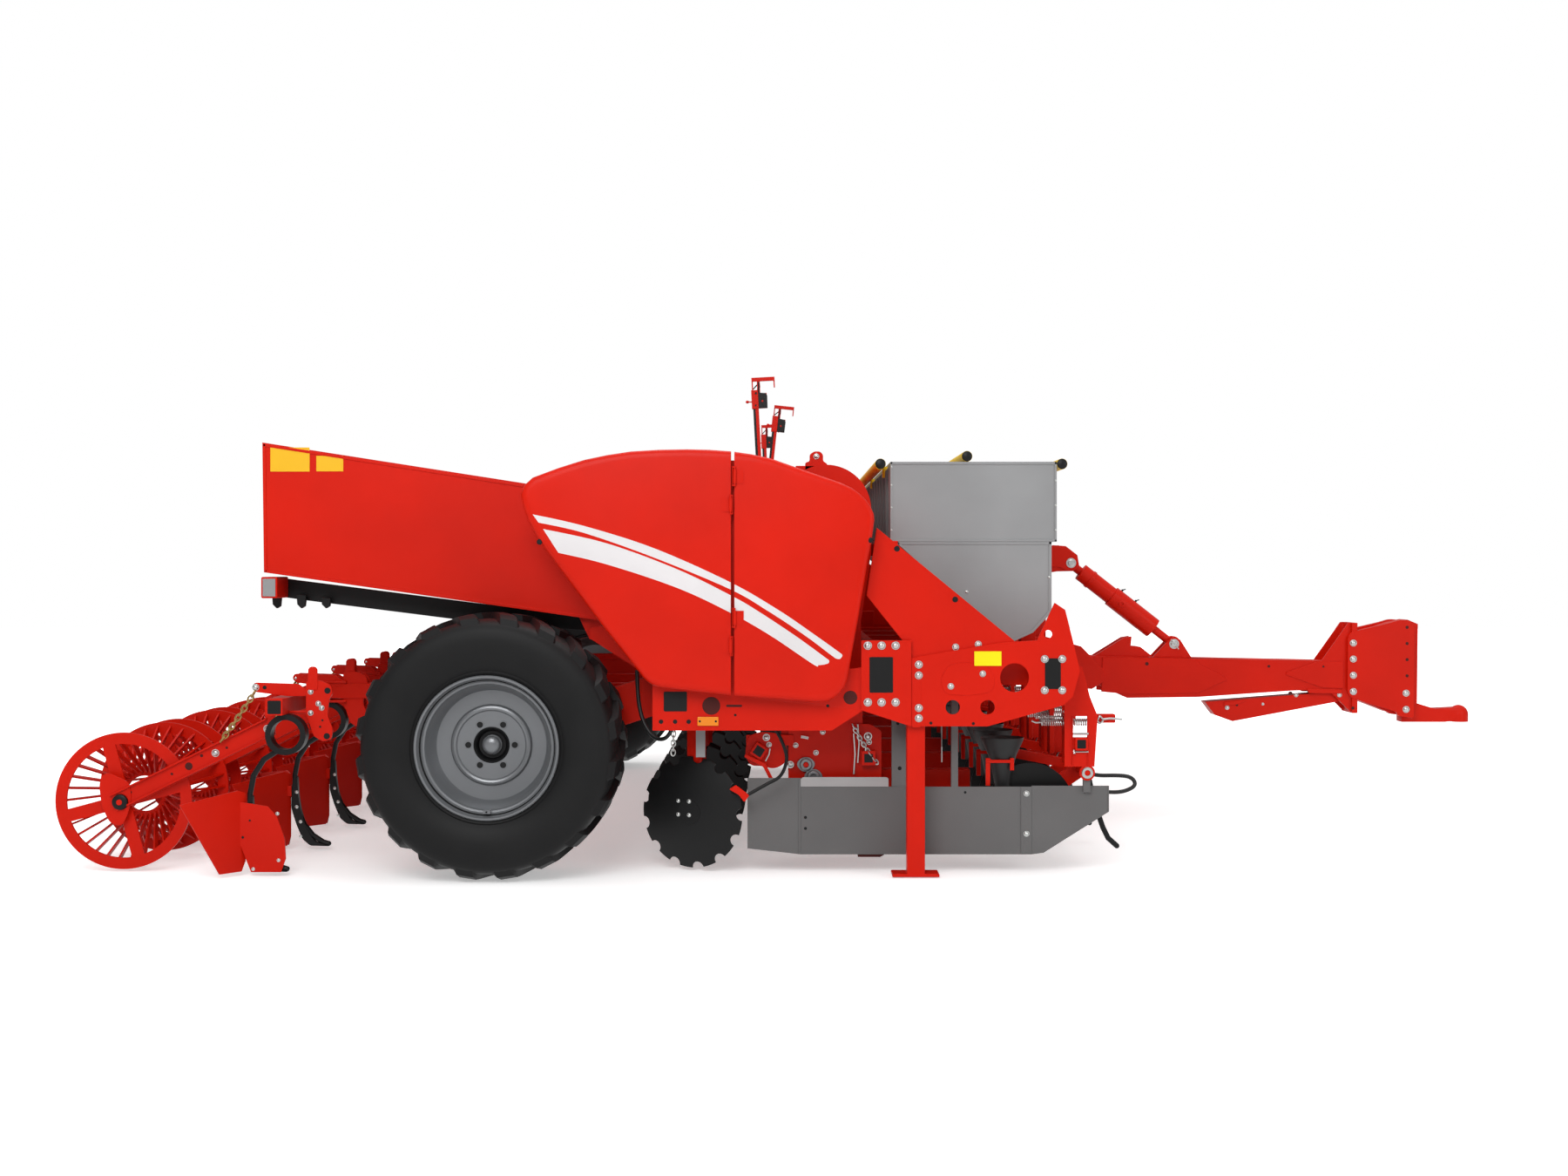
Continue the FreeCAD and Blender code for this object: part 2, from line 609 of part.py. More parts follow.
def belt_housing(row):
    """Closed duct round one row's cup belt, open at its foot."""
    y0, y1 = row - HOUSING_HALF_WIDTH, row + HOUSING_HALF_WIDTH
    t = HOUSING_WALL
    outer = housing_core(0, y0, y1)
    inner = housing_core(t, y0 + t, y1 - t)
    return outer.cut(inner)


def housing_core(inset, y0, y1):
    radius = (HOUSING_FRONT_X - HOUSING_REAR_X) / 2 - inset
    cx = (HOUSING_FRONT_X + HOUSING_REAR_X) / 2
    column = prism([
        (HOUSING_REAR_X + inset, HOUSING_BOTTOM - inset), (HOUSING_FOOT_X - inset, HOUSING_BOTTOM - inset),
        (HOUSING_FOOT_X - inset, 1100), (HOUSING_FRONT_X - inset, 1400), (HOUSING_FRONT_X - inset, HOUSING_ARC_Z),
        (HOUSING_REAR_X + inset, HOUSING_ARC_Z),
    ], y0, y1)
    top = rod_y(cx, HOUSING_ARC_Z, radius, y0, y1)
    return column.fuse(top).removeSplitter()


def planting_unit(row):
    """Lower drive plates and the furrow opener under one duct."""
    pieces = []
    wide = HOUSING_HALF_WIDTH
    plate = [(1277, 390), (1607, 390), (1607, 700), (1277, 700)]
    pieces.append(prism(plate, row - wide - 10, row - wide))
    pieces.append(prism(plate, row + wide, row + wide + 10))
    pieces.append(box(1300, 1580, row - wide, row + wide, 400, 430))
    pieces.append(prism([
        (1330, 400), (OPENER_REAR_X, 400), (1693, 88), (1600, 72), (1380, 110),
    ], row - OPENER_WIDTH / 2, row + OPENER_WIDTH / 2))
    pieces.append(box(HOUSING_FOOT_X, MID_BEAM_X - MID_BEAM_LENGTH / 2, row - 60, row + 60, 810, 900))
    wide, t = OPENER_WIDTH / 2, OPENER_WALL
    channel = box(OPENER_REAR_X, OPENER_FRONT_X, row - wide, row + wide, OPENER_LOW, OPENER_TOP)
    hollow = box(OPENER_REAR_X + t, OPENER_FRONT_X - t, row - wide + t, row + wide - t, OPENER_LOW, OPENER_TOP - t)
    pieces.append(channel.cut(hollow))
    return fuse(pieces)


def cross_tube():
    """Tube behind the ducts that carries the lever posts."""
    return box(LEVER_X - LEVER_TUBE / 2, HOUSING_REAR_X, -2080, 2080, LEVER_BASE - LEVER_TUBE, LEVER_BASE)


def lever_post(y, lean):
    """Adjusting lever with its stop block, catch and hand loop."""
    x, half = LEVER_X, LEVER_SIZE / 2
    lever = fuse([
        box(x - half, x + half, y - half, y + half, LEVER_BASE, 2173),
        box(x - half - 6, x + half, y - half - 4, y + half + 4, 2085, 2173),
        box(x + half, x + half + 41, y - 12, y + 12, 2090, 2158),
        box(x + 10, x + 24, y - 6, y + 6, 2158, 2215),
        box(x - 15, x - 9, y - 3, y + 3, 2173, 2215),
        box(x - 15, x + 95, y - 8, y + 8, 2215, 2233),
        box(x + 89, x + 95, y - 3, y + 3, 2182, 2215),
    ])
    lever.rotate(Vector(x, y, LEVER_BASE), Vector(0, 1, 0), lean)
    foot = box(x - 25, x + 25, y - 25, y + 25, LEVER_BASE, LEVER_BASE + 25)
    return fuse([lever.common(box(0, 3000, y - 50, y + 50, LEVER_BASE, 3000)), foot])


def lever_posts():
    posts = [lever_post(-2 * ROW_PITCH, -3), lever_post(0, 6), lever_post(2 * ROW_PITCH, -2)]
    return Part.makeCompound(posts)


# --- doors ---

def door_outline():
    return [
        (139, 1642), (153, 1683), (190, 1716), (408, 1791), (608, 1827), (844, 1836), (1038, 1827),
        (1203, 1797), (1350, 1745), (1498, 1694), (1577, 1649), (1627, 1590), (1642, 1535),
        (1616, 1376), (1577, 1139), (1528, 862), (1498, 803), (1439, 763), (1391, 763), (1038, 789),
        (726, 825), (678, 848), (648, 881), (490, 1080), (213, 1453), (153, 1583),
    ]


def door(side):
    """Right-hand cover door: side -1 the rear one, +1 the front one."""
    whole = prism(door_outline(), -DOOR_OUTER, -DOOR_OUTER + DOOR_THICKNESS)
    half_seam = DOOR_SEAM / 2
    if side < 0:
        keep = box(0, DOOR_SPLIT_X - half_seam, -3000, 0, 0, 2500)
        heights = (1000, 1600)
    else:
        keep = box(DOOR_SPLIT_X + half_seam, 3000, -3000, 0, 0, 2500)
        heights = (1120, 1720)
    panel = whole.common(keep)
    pieces = [panel]
    x, y = hinge_axis(side)
    for height in heights:
        z = height - HINGE_KNUCKLE_LENGTH / 2
        knuckle = Part.makeCylinder(HINGE_KNUCKLE_RADIUS, HINGE_KNUCKLE_LENGTH, Vector(x, y, z))
        leaf = box(min(x, x + side * 40), max(x, x + side * 40), -DOOR_OUTER - 3, -DOOR_OUTER, z,
                   z + HINGE_KNUCKLE_LENGTH)
        pieces += [knuckle, leaf]
    solid = fuse(pieces)
    for height in heights:
        hole = Part.makeCylinder(HINGE_PIN_RADIUS + PIN_CLEARANCE, HINGE_KNUCKLE_LENGTH + 2,
                                 Vector(x, y, height - HINGE_KNUCKLE_LENGTH / 2 - 1))
        solid = solid.cut(hole)
    return solid


# --- fertiliser tank ---

def tank_outline(inset):
    return [
        (TANK_REAR_X + inset, TANK_TOP), (TANK_FRONT_X - inset, TANK_TOP),
        (TANK_FRONT_X - inset, TANK_STEP_Z + inset), (2448 - inset, TANK_STEP_Z + inset),
        (2448 - inset, 1134 + inset / 2), (2366, 1044 + inset), (2266, 998 + inset),
        (1754 + inset, TANK_STEP_Z + inset), (TANK_REAR_X + inset, TANK_STEP_Z + inset),
    ]


def fertiliser_tank():
    """Full-width tank with a tapered floor, open on top."""
    wide = TANK_HALF_WIDTH
    t = TANK_WALL
    body = prism(tank_outline(0), -wide, wide)
    cavity = prism(tank_outline(t), -wide + t, wide - t)
    return body.cut(cavity)


def guard_tubes():
    """Three tubes along the tank's rim with their end brackets."""
    wide = TANK_HALF_WIDTH
    r = GUARD_TUBE_RADIUS
    pieces = [
        rod_y(TANK_REAR_X - r - 20, TANK_TOP - 10, r, -wide, wide),
        rod_y(2072, TANK_TOP + r, r, -wide, wide),
        rod_y(TANK_FRONT_X + r, TANK_TOP - 10, r, -wide, wide),
    ]
    for y in (-1800, -600, 600, 1800):
        pieces.append(box(TANK_REAR_X - 22, TANK_REAR_X, y - 20, y + 20, TANK_TOP - 60, TANK_TOP - 10))
    return Part.makeCompound([fuse([pieces[0]] + pieces[3:]), pieces[1], pieces[2]])


def tank_supports():
    """Red side sheets, the cross angle behind the tank and pads on the front beam."""
    inner = FRAME_HALF_WIDTH - PLATE
    sheet = prism([
        (1656, 1505), (1612, 1213), (1782, 1000), (1782, 905), (1830, 905), (1830, 935),
        (2258, 980), (2258, 1010),
    ], -inner, -inner + PLATE)
    angle_half = inner - PLATE - MOVING_GAP
    angle = box(1690, 1748, -angle_half, angle_half, 1390, TANK_STEP_Z)
    pads = []
    for y in INNER_FURROW_YS:
        pads.append(box(2375, 2445, y - 40, y + 40, 951, 1160).cut(prism(tank_outline(0), y - 50, y + 50)))
    return Part.makeCompound([sheet, mirrored(sheet), angle] + pads)


# --- skirts, posts ---

def skirt():
    """Right-hand ground skirts in front of and behind the furrow openers, with posts."""
    outer, inner = -SKIRT_HALF_WIDTH, -SKIRT_HALF_WIDTH + SKIRT_WALL
    rear = prism([(1098, 102), (1331, 76), (1331, 411), (1098, 411)], outer, inner)
    main = prism([(1331, 76), (2342, 76), (2342, 373), (1716, 373), (1716, 411), (1331, 411)], outer, inner)
    front = prism([(2342, 76), (2396, 83), (2682, 263), (2682, 377), (2342, 377)], outer, inner)
    lug_x = COULTER_PIVOT_X
    tower = outer - TOWER_SKIRT_GAP + TOWER_PLATE / 2
    posts = [
        box(*SKIRT_POST_X, inner, inner + SKIRT_POST, 150, RAIL_LOW),
        box(1991, 2021, outer, inner + 30, 373, RAIL_LOW),
        box(lug_x - 16, lug_x + 16, tower, outer, 350,
            COULTER_PIVOT_Z - COULTER_SHAFT_RADIUS),
    ]
    return fuse([rear, main, front] + posts)


# --- covering discs ---

def disc_frame(shape, row, side):
    """Move a piece from the disc's own frame (outer face to -Y) to its place."""
    placed = shape.copy()
    placed.rotate(Vector(0, 0, 0), Vector(0, 0, 1), -DISC_YAW)
    if side > 0:
        placed = mirrored(placed)
    placed.translate(Vector(DISC_X, row + side * DISC_ROW_OFFSET, DISC_Z))
    return placed


def covering_disc():
    """Dished, notched disc with its hub, bulging towards -Y."""
    sphere = (DISC_RADIUS ** 2 + DISC_DISH ** 2) / (2 * DISC_DISH)
    centre = Vector(0, sphere - DISC_DISH, 0)
    shell = Part.makeSphere(sphere, centre).cut(Part.makeSphere(sphere - DISC_PLATE, centre))
    disc = shell.common(rod_y(0, 0, DISC_RADIUS, -DISC_DISH - 5, 20))
    cutters = []
    for i in range(DISC_NOTCHES):
        turn = math.radians(i * 360 / DISC_NOTCHES)
        cutters.append(rod_y(DISC_RADIUS * math.cos(turn), DISC_RADIUS * math.sin(turn),
                             DISC_NOTCH_RADIUS, -80, 60))
    disc = disc.cut(Part.makeCompound(cutters))
    hub = rod_y(0, 0, DISC_HUB_RADIUS, -DISC_DISH, -DISC_DISH + DISC_HUB_LENGTH)
    bore = rod_y(0, 0, DISC_PIN_RADIUS + PIN_CLEARANCE, -DISC_DISH + 8, 60)
    return fuse([disc, hub]).cut(bore)


def disc_legs():
    """Legs under the rear beam with the stub axles of the covering discs."""
    beam_low = REAR_BEAM_Z - REAR_BEAM_HEIGHT / 2
    stub_end = -DISC_DISH + DISC_HUB_LENGTH + MOVING_GAP
    leg = box(-30, 30, stub_end, stub_end + 25, -45, beam_low - 20 - DISC_Z)
    stub = rod_y(0, 0, DISC_PIN_RADIUS, -DISC_DISH + 10, stub_end)
    piece = fuse([leg, stub])
    legs = []
    for row in ROW_YS:
        for side in (-1, 1):
            placed = disc_frame(piece, row, side)
            y = row + side * (DISC_ROW_OFFSET - stub_end - 12)
            shoe = box(REAR_BEAM_X - REAR_BEAM_LENGTH / 2, DISC_X + 60, y - 40, y + 40, beam_low - 20, beam_low)
            legs.append(fuse([placed, shoe]))
    return Part.makeCompound(legs)


# --- coulters ---

def coulter(row):
    """Two smooth discs on one axle, one each side of the row."""
    pieces = []
    reach = COULTER_ROW_OFFSET
    for side in (-1, 1):
        y = row + side * reach
        pieces.append(rod_y(COULTER_X, COULTER_Z, COULTER_RADIUS, y - 3, y + 3))
        pieces.append(rod_y(COULTER_X, COULTER_Z, 45, y - 18, y + 18))
    pieces.append(rod_y(COULTER_X, COULTER_Z, COULTER_PIN_RADIUS, row - reach, row + reach))
    return fuse(pieces)


def coulter_legs(row):
    """Tower plates on the front beam, the trailing arms and the fertiliser funnels."""
    start = FRONT_BEAM_X + FRONT_BEAM_LENGTH / 2
    half = TOWER_PLATE / 2
    pieces = []
    for side in (-1, 1):
        y = row + side * TOWER_ROW_OFFSET
        plate = prism([
            (start, 951), (2560, 900), (2594, 768), (2628, 684), (2613, 464), (2483, 464), (2483, 768),
            (start, 809),
        ], y - half, y + half)
        boss = rod_y(COULTER_PIVOT_X, COULTER_PIVOT_Z, TOWER_BOSS_RADIUS, y - half, y + half)
        window = box(*TOWER_WINDOW_X, y - TOWER_PLATE, y + TOWER_PLATE, *TOWER_WINDOW_Z)
        pieces.append(plate.fuse(boss).cut(window).cut(head_block()))
    pieces.append(rod_y(COULTER_PIVOT_X, COULTER_PIVOT_Z, COULTER_SHAFT_RADIUS, row - TOWER_ROW_OFFSET,
                        row + TOWER_ROW_OFFSET))
    for side in (-1, 1):
        y = row + side * (COULTER_ROW_OFFSET - 60)
        arm = bar_between((COULTER_PIVOT_X, COULTER_PIVOT_Z), (COULTER_X - 25, COULTER_Z - 16), 70, y - 8, y + 8)
        arm = arm.cut(rod_y(COULTER_X, COULTER_Z, COULTER_PIN_RADIUS + PIN_CLEARANCE, y - 20, y + 20))
        pieces.append(arm)
        pieces.append(box(2180, 2250, row + side * 200 - 30, row + side * 200 + 30, 467, 550))
    pieces.append(bar_between((2215, 508), (COULTER_PIVOT_X, COULTER_PIVOT_Z), 40, row - 30, row + 30))
    pieces.append(box(2195, 2235, row - 200, row + 200, 490, 528))
    return fuse(pieces)


# --- rear frame ---

def toolbar():
    half = TOOLBAR_SIZE / 2
    return box(TOOLBAR_X - half, TOOLBAR_X + half, -TOOLBAR_HALF_WIDTH, TOOLBAR_HALF_WIDTH,
               TOOLBAR_Z - half, TOOLBAR_Z + half)


def roller(row):
    """Cage roller, drawn in towards its middle, on end discs with four spokes."""
    half = ROLLER_HALF_WIDTH
    pieces = []
    rings = ((-half, ROLLER_RADIUS), (half - ROLLER_RING_THICKNESS, ROLLER_RADIUS))
    for y, radius in rings:
        ring = rod_y(0, 0, radius, y, y + ROLLER_RING_THICKNESS)
        ring = ring.cut(rod_y(0, 0, radius - ROLLER_RING, y - 1, y + 20))
        hub = rod_y(0, 0, ROLLER_HUB_RADIUS, y, y + ROLLER_RING_THICKNESS)
        pieces += [ring, hub]
        for turn in (0, 90):
            spoke = box(-radius + 20, radius - 20, y, y + ROLLER_RING_THICKNESS, -28, 28)
            spoke.rotate(Vector(0, 0, 0), Vector(0, 1, 0), turn + ROLLER_SPOKE_TURN)
            pieces.append(spoke)
    middle = rod_y(0, 0, ROLLER_MID_RADIUS, -4, 4).cut(rod_y(0, 0, ROLLER_MID_RADIUS - 40, -5, 5))
    pieces.append(middle)
    for i in range(ROLLER_BARS):
        turn = i * 360 / ROLLER_BARS
        for side in (-1, 1):
            bar = Part.Face(Part.makePolygon([
                Vector(ROLLER_MID_RADIUS - 30, 0, 4), Vector(ROLLER_MID_RADIUS - 2, 0, 4),
                Vector(ROLLER_RADIUS - 8, side * (half - 2), 4),
                Vector(ROLLER_RADIUS - 36, side * (half - 2), 4), Vector(ROLLER_MID_RADIUS - 30, 0, 4),
            ])).extrude(Vector(0, 0, -8))
            bar.rotate(Vector(0, 0, 0), Vector(0, 1, 0), turn)
            pieces.append(bar)
    for y in (-half, half - 60):
        pieces.append(rod_y(0, 0, ROLLER_HUB_RADIUS, y, y + 60))
    whole = fuse(pieces)
    for y in (-half - 1, half - 50):
        whole = whole.cut(rod_y(0, 0, ROLLER_PIN_RADIUS + PIN_CLEARANCE, y, y + 51))
    whole.translate(Vector(ROLLER_X, row, ROLLER_Z))
    return whole


def roller_arms():
    """A pair of trailing arms for each roller, on the back of the toolbar."""
    back = TOOLBAR_X - TOOLBAR_SIZE / 2
    arms = []
    for row in ROW_YS:
        for side in (-1, 1):
            near = row + side * (ROLLER_HALF_WIDTH + ROLLER_ARM_GAP)
            far = near + side * ROLLER_ARM_THICKNESS
            y0, y1 = min(near, far), max(near, far)
            arm = bar_between((ROLLER_X - 30, ROLLER_Z - 12), (back - 20, 640), 76, y0, y1)
            plate = box(back - 45, back, y0, y1, 600, TOOLBAR_Z + 35)
            pin_y = row + side * (ROLLER_HALF_WIDTH - 45)
            pin = rod_y(ROLLER_X, ROLLER_Z, ROLLER_PIN_RADIUS, min(pin_y, near), max(pin_y, near))
            arms.append(fuse([arm, plate, pin]))
    return Part.makeCompound(arms)


def bent_rod(path, y, radius):
    """Round rod through points of one X-Z plane, rounded off at each of them."""
    pieces = []
    for start, end in zip(path, path[1:]):
        pieces.append(rod_between((start[0], y, start[1]), (end[0], y, end[1]), radius))
        pieces.append(Part.makeSphere(radius, Vector(end[0], y, end[1])))
    return pieces


def tine(y):
    """Sprung round tine: a coil under the toolbar, then a bow down to its point."""
    outer, hollow = TINE_COIL_RADIUS + TINE_RADIUS, TINE_COIL_RADIUS - TINE_RADIUS
    x, z = TOOLBAR_X + TINE_COIL_AHEAD, TOOLBAR_Z - TOOLBAR_SIZE / 2 - outer
    half = TINE_COIL_WIDTH / 2
    coil = rod_y(x, z, outer, y - half, y + half).cut(rod_y(x, z, hollow, y - half - 1, y + half + 1))
    path = [
        (-930, 545), (-1000, 500), (-1045, 430), (TINE_BACK_X, 350), (TINE_BACK_X, 250), (-1045, 180),
        (-1015, 115), (-975, 65), (-925, 32), (-900, TOOL_GROUND_GAP + TINE_RADIUS + 1),
    ]
    return fuse([coil] + bent_rod(path, y, TINE_RADIUS))


def front_tine(y):
    """Small tine clamped in front of a coulter's pivot shaft."""
    path = [
        (COULTER_PIVOT_X + COULTER_SHAFT_RADIUS + TINE_RADIUS, 455),
        (COULTER_PIVOT_X + COULTER_SHAFT_RADIUS + TINE_RADIUS, 420), (2642, 300), (2669, 216), (2685, 170),
        (2708, 123), (2747, 88),
    ]
    return fuse(bent_rod(path, y, TINE_RADIUS))


def ridger(y):
    """Wings on a bracket behind their tine: swept ones, and a straight one on an outermost side."""
    swept = [(0, 355), (-40, 368), (-322, 332), (-130, 16), (-20, 16), (0, 60)]
    straight = [
        (-1159, 328), (-976, 299), (-938, 256), (-904, 160), (-899, 73), (-920, 14), (-1050, 14), (-1092, 121),
    ]
    half = RIDGER_PLATE / 2
    behind = TINE_BACK_X - TINE_RADIUS
    offset = TINE_RADIUS + RIDGER_PLATE
    pieces = [box(behind - 18, behind, y - offset, y + offset, 250, 300)]
    for side in (-1, 1):
        if side * y > FURROW_YS[-2]:
            pieces.append(prism(straight, y + side * offset - half, y + side * offset + half))
        else:
            wing = prism(swept, -half, half)
            wing.rotate(Vector(0, 0, 0), Vector(0, 0, 1), side * RIDGER_SWEEP)
            wing.translate(Vector(behind - 9, y, 0))
            pieces.append(wing)
    return fuse(pieces)


# --- jacks ---

def jack():
    """Right-hand jack: square leg on a foot plate."""
    half = JACK_SIZE / 2
    leg = box(JACK_X - half, JACK_X + half, -JACK_OUT - half, -JACK_OUT + half, 5, JACK_TOP)
    foot_half = JACK_FOOT / 2
    outside = JACK_OUT + half
    foot = box(JACK_X - foot_half, JACK_X + foot_half, -outside, -outside + JACK_FOOT_DEPTH,
               0, JACK_FOOT_THICKNESS)
    return fuse([leg, foot])


# --- drawbar ---

def drawbar():
    """Box drawbar with its ram lug, hitch flange and the parking leg's ears."""
    wide = DRAWBAR_HALF_WIDTH
    px, pz = DRAWBAR_PIVOT
    box_beam = prism([
        (px - 60, pz), (px - 60, 847), (3505, 832), (4209, 820), (HITCH_FLANGE_X, 815), (HITCH_FLANGE_X, 665),
        (4049, 655), (3535, 620), (3144, 615), (px + 47, pz - 50), (px, pz - 60), (px - 45, pz - 45),
    ], -wide, wide)
    eye = rod_y(px, pz, 62, -wide, wide)
    lug = prism([
        (3290, 838), (3376, 929), (3407, 950), (3441, 934), (3505, 832),
    ], -55, -CYLINDER_EYE_WIDTH / 2 - 4)
    hook = prism([
        (2960, 840), (3130, 945), (3173, 952), (3168, 900), (3221, 895), (3290, 840),
    ], -55, -CYLINDER_EYE_WIDTH / 2 - 4)
    cx, cz = CYLINDER_FRONT
    pin = rod_y(cx, cz, CYLINDER_PIN_RADIUS, -50, 50)
    flange = box(HITCH_FLANGE_X, HITCH_FLANGE_X + 30, -100, 100, 533, 1028)
    gusset = prism([(4209, 815), (4360, 1028), (HITCH_FLANGE_X, 1028), (HITCH_FLANGE_X, 815)], -wide, -wide + 12)
    lower = prism([(4250, 660), (HITCH_FLANGE_X, 535), (HITCH_FLANGE_X, 665)], -wide, -wide + 12)
    lx, lz = LEG_PIVOT
    leg_pin = rod_y(lx, lz, LEG_PIN_RADIUS, -wide, wide)
    body = fuse([box_beam, eye, lug, mirrored(lug), hook, mirrored(hook), flange, gusset,
                 mirrored(gusset), lower, mirrored(lower), leg_pin])
    body = body.cut(rod_y(px, pz, DRAWBAR_PIN_RADIUS + PIN_CLEARANCE, -wide - 1, wide + 1))
    return body.cut(rear_pocket()).fuse(pin)


def rear_pocket():
    """Room round the rod eye in the drawbar's lug."""
    half = CYLINDER_EYE_WIDTH / 2 + 4
    cx, cz = CYLINDER_FRONT
    return rod_y(cx, cz, CYLINDER_EYE_RADIUS + MOVING_GAP, -half, half)


def parking_leg():
    """Folded parking leg under the drawbar, a channel on a pin between ears."""
    wide = LEG_HALF_WIDTH
    lx, lz = LEG_PIVOT
    body = prism([
        (3577, 592), (4300, 648), (lx + 22, lz + 12), (lx + 20, lz - 22), (3728, 485), (3631, 520),
    ], -wide, wide)
    return body.cut(rod_y(lx, lz, LEG_PIN_RADIUS + PIN_CLEARANCE, -wide - 1, wide + 1))


def hitch():
    """Height-adjustable hitch head with a ball cup."""
    start = HITCH_FLANGE_X + 30
    head = prism([
        (start, 940), (4449, 975), (4601, 1028), (4688, 1045), (4745, 1021), (4740, 586), (4664, 516),
        (4591, 533), (start, 606),
    ], -70, 70)
    neck = prism([
        (4664, 480), (4664, 582), (4740, 586), (4847, 553), (BALL_X, 560), (BALL_X, 490), (4900, 480),
    ], -45, 45)
    cup = Part.makeCylinder(BALL_CUP_RADIUS, 40, Vector(BALL_X, 0, 480))
    cup = cup.fuse(Part.makeSphere(BALL_CUP_RADIUS, Vector(BALL_X, 0, 520)))
    cup = cup.common(box(BALL_X - 90, BALL_X + 90, -90, 90, 480, 600))
    hollow = Part.makeCylinder(BALL_RADIUS, 45, Vector(BALL_X, 0, 479))
    dome = Part.makeSphere(BALL_RADIUS, Vector(BALL_X, 0, BALL_Z))
    return fuse([head, neck, cup]).cut(hollow).cut(dome)


def cylinder_direction():
    dx = CYLINDER_FRONT[0] - CYLINDER_REAR[0]
    dz = CYLINDER_FRONT[1] - CYLINDER_REAR[1]
    return dx, dz, math.hypot(dx, dz)


def along_cylinder(shape):
    """Turn a piece made along +X from the rear pin to the ram's own line."""
    dx, dz, _ = cylinder_direction()
    placed = shape.copy()
    placed.rotate(Vector(0, 0, 0), Vector(0, 1, 0), -math.degrees(math.atan2(dz, dx)))
    placed.translate(Vector(CYLINDER_REAR[0], 0, CYLINDER_REAR[1]))
    return placed


def rod_x(x0, x1, radius):
    return Part.makeCylinder(radius, x1 - x0, Vector(x0, 0, 0), Vector(1, 0, 0))


def cylinder_barrel():
    half = CYLINDER_EYE_WIDTH / 2
    eye = rod_y(0, 0, CYLINDER_EYE_RADIUS, -half, half)
    end = CYLINDER_BARREL_END
    body = rod_x(80, end, CYLINDER_RADIUS)
    neck = rod_x(0, 90, half - 2)
    bore = rod_x(90, end + 1, CYLINDER_BORE)
    gland = rod_x(end - 30, end, CYLINDER_RADIUS).cut(rod_x(end - 31, end + 1, ROD_RADIUS + PIN_CLEARANCE))
    whole = fuse([eye, neck, body]).cut(bore)
    whole = whole.cut(rod_y(0, 0, CYLINDER_PIN_RADIUS + PIN_CLEARANCE, -half - 1, half + 1))
    return along_cylinder(whole.fuse(gland))


def cylinder_rod():
    half = CYLINDER_EYE_WIDTH / 2
    length = cylinder_direction()[2]
    shaft = rod_x(250, length - CYLINDER_EYE_RADIUS + 12, ROD_RADIUS)
    eye = rod_y(length, 0, CYLINDER_EYE_RADIUS, -half, half)
    whole = fuse([shaft, eye])
    return along_cylinder(whole.cut(rod_y(length, 0, CYLINDER_PIN_RADIUS + ROD_EYE_SLACK, -half - 1, half + 1)))


def hose(points):
    """Round hose of straight runs joined by tangent arcs."""
    route = [Vector(*point) for point in points]
    edges = []
    start = route[0]
    for before, corner, after in zip(route, route[1:], route[2:]):
        back = (before - corner).normalize()
        ahead = (after - corner).normalize()
        half_turn = (math.pi - back.getAngle(ahead)) / 2
        step = HOSE_ARC_SHARE * min((before - corner).Length, (after - corner).Length)
        radius = step / math.tan(half_turn)
        print("hose bend radius %.1f mm" % radius)
        middle = corner + (back + ahead).normalize() * (radius / math.cos(half_turn) - radius)
        edges.append(Part.makeLine(start, corner + back * step))
        edges.append(Part.Arc(corner + back * step, middle, corner + ahead * step).toShape())
        start = corner + ahead * step
    edges.append(Part.makeLine(start, route[-1]))
    profile = Part.Wire(Part.makeCircle(HOSE_RADIUS, route[0], route[1] - route[0]))
    return Part.Wire(edges).makePipeShell([profile], True, True)


def front_hose():
    """Loop in front of the right-hand coulter, both ends on its pivot shaft."""
    return hose([
        (2599, -1885, 423), (2640, -1885, 388), (2796, -1890, 392), (2840, -1900, 378), (2850, -1907, 345),
        (2796, -1920, 321), (2733, -1925, 317), (2640, -1925, 330), (2592.5, -1925, 417.7),
    ])


def rear_hose():
    """Sagging run from the right-hand hopper bracket to the rear beam's underside."""
    return hose([
        (610, -2121, 881), (612, -2130, 760), (640, -2160, 650), (690, -2200, 585), (745, -2240, 585),
        (780, -2260, 645), (780, -2260, REAR_BEAM_Z - REAR_BEAM_HEIGHT / 2),
    ])


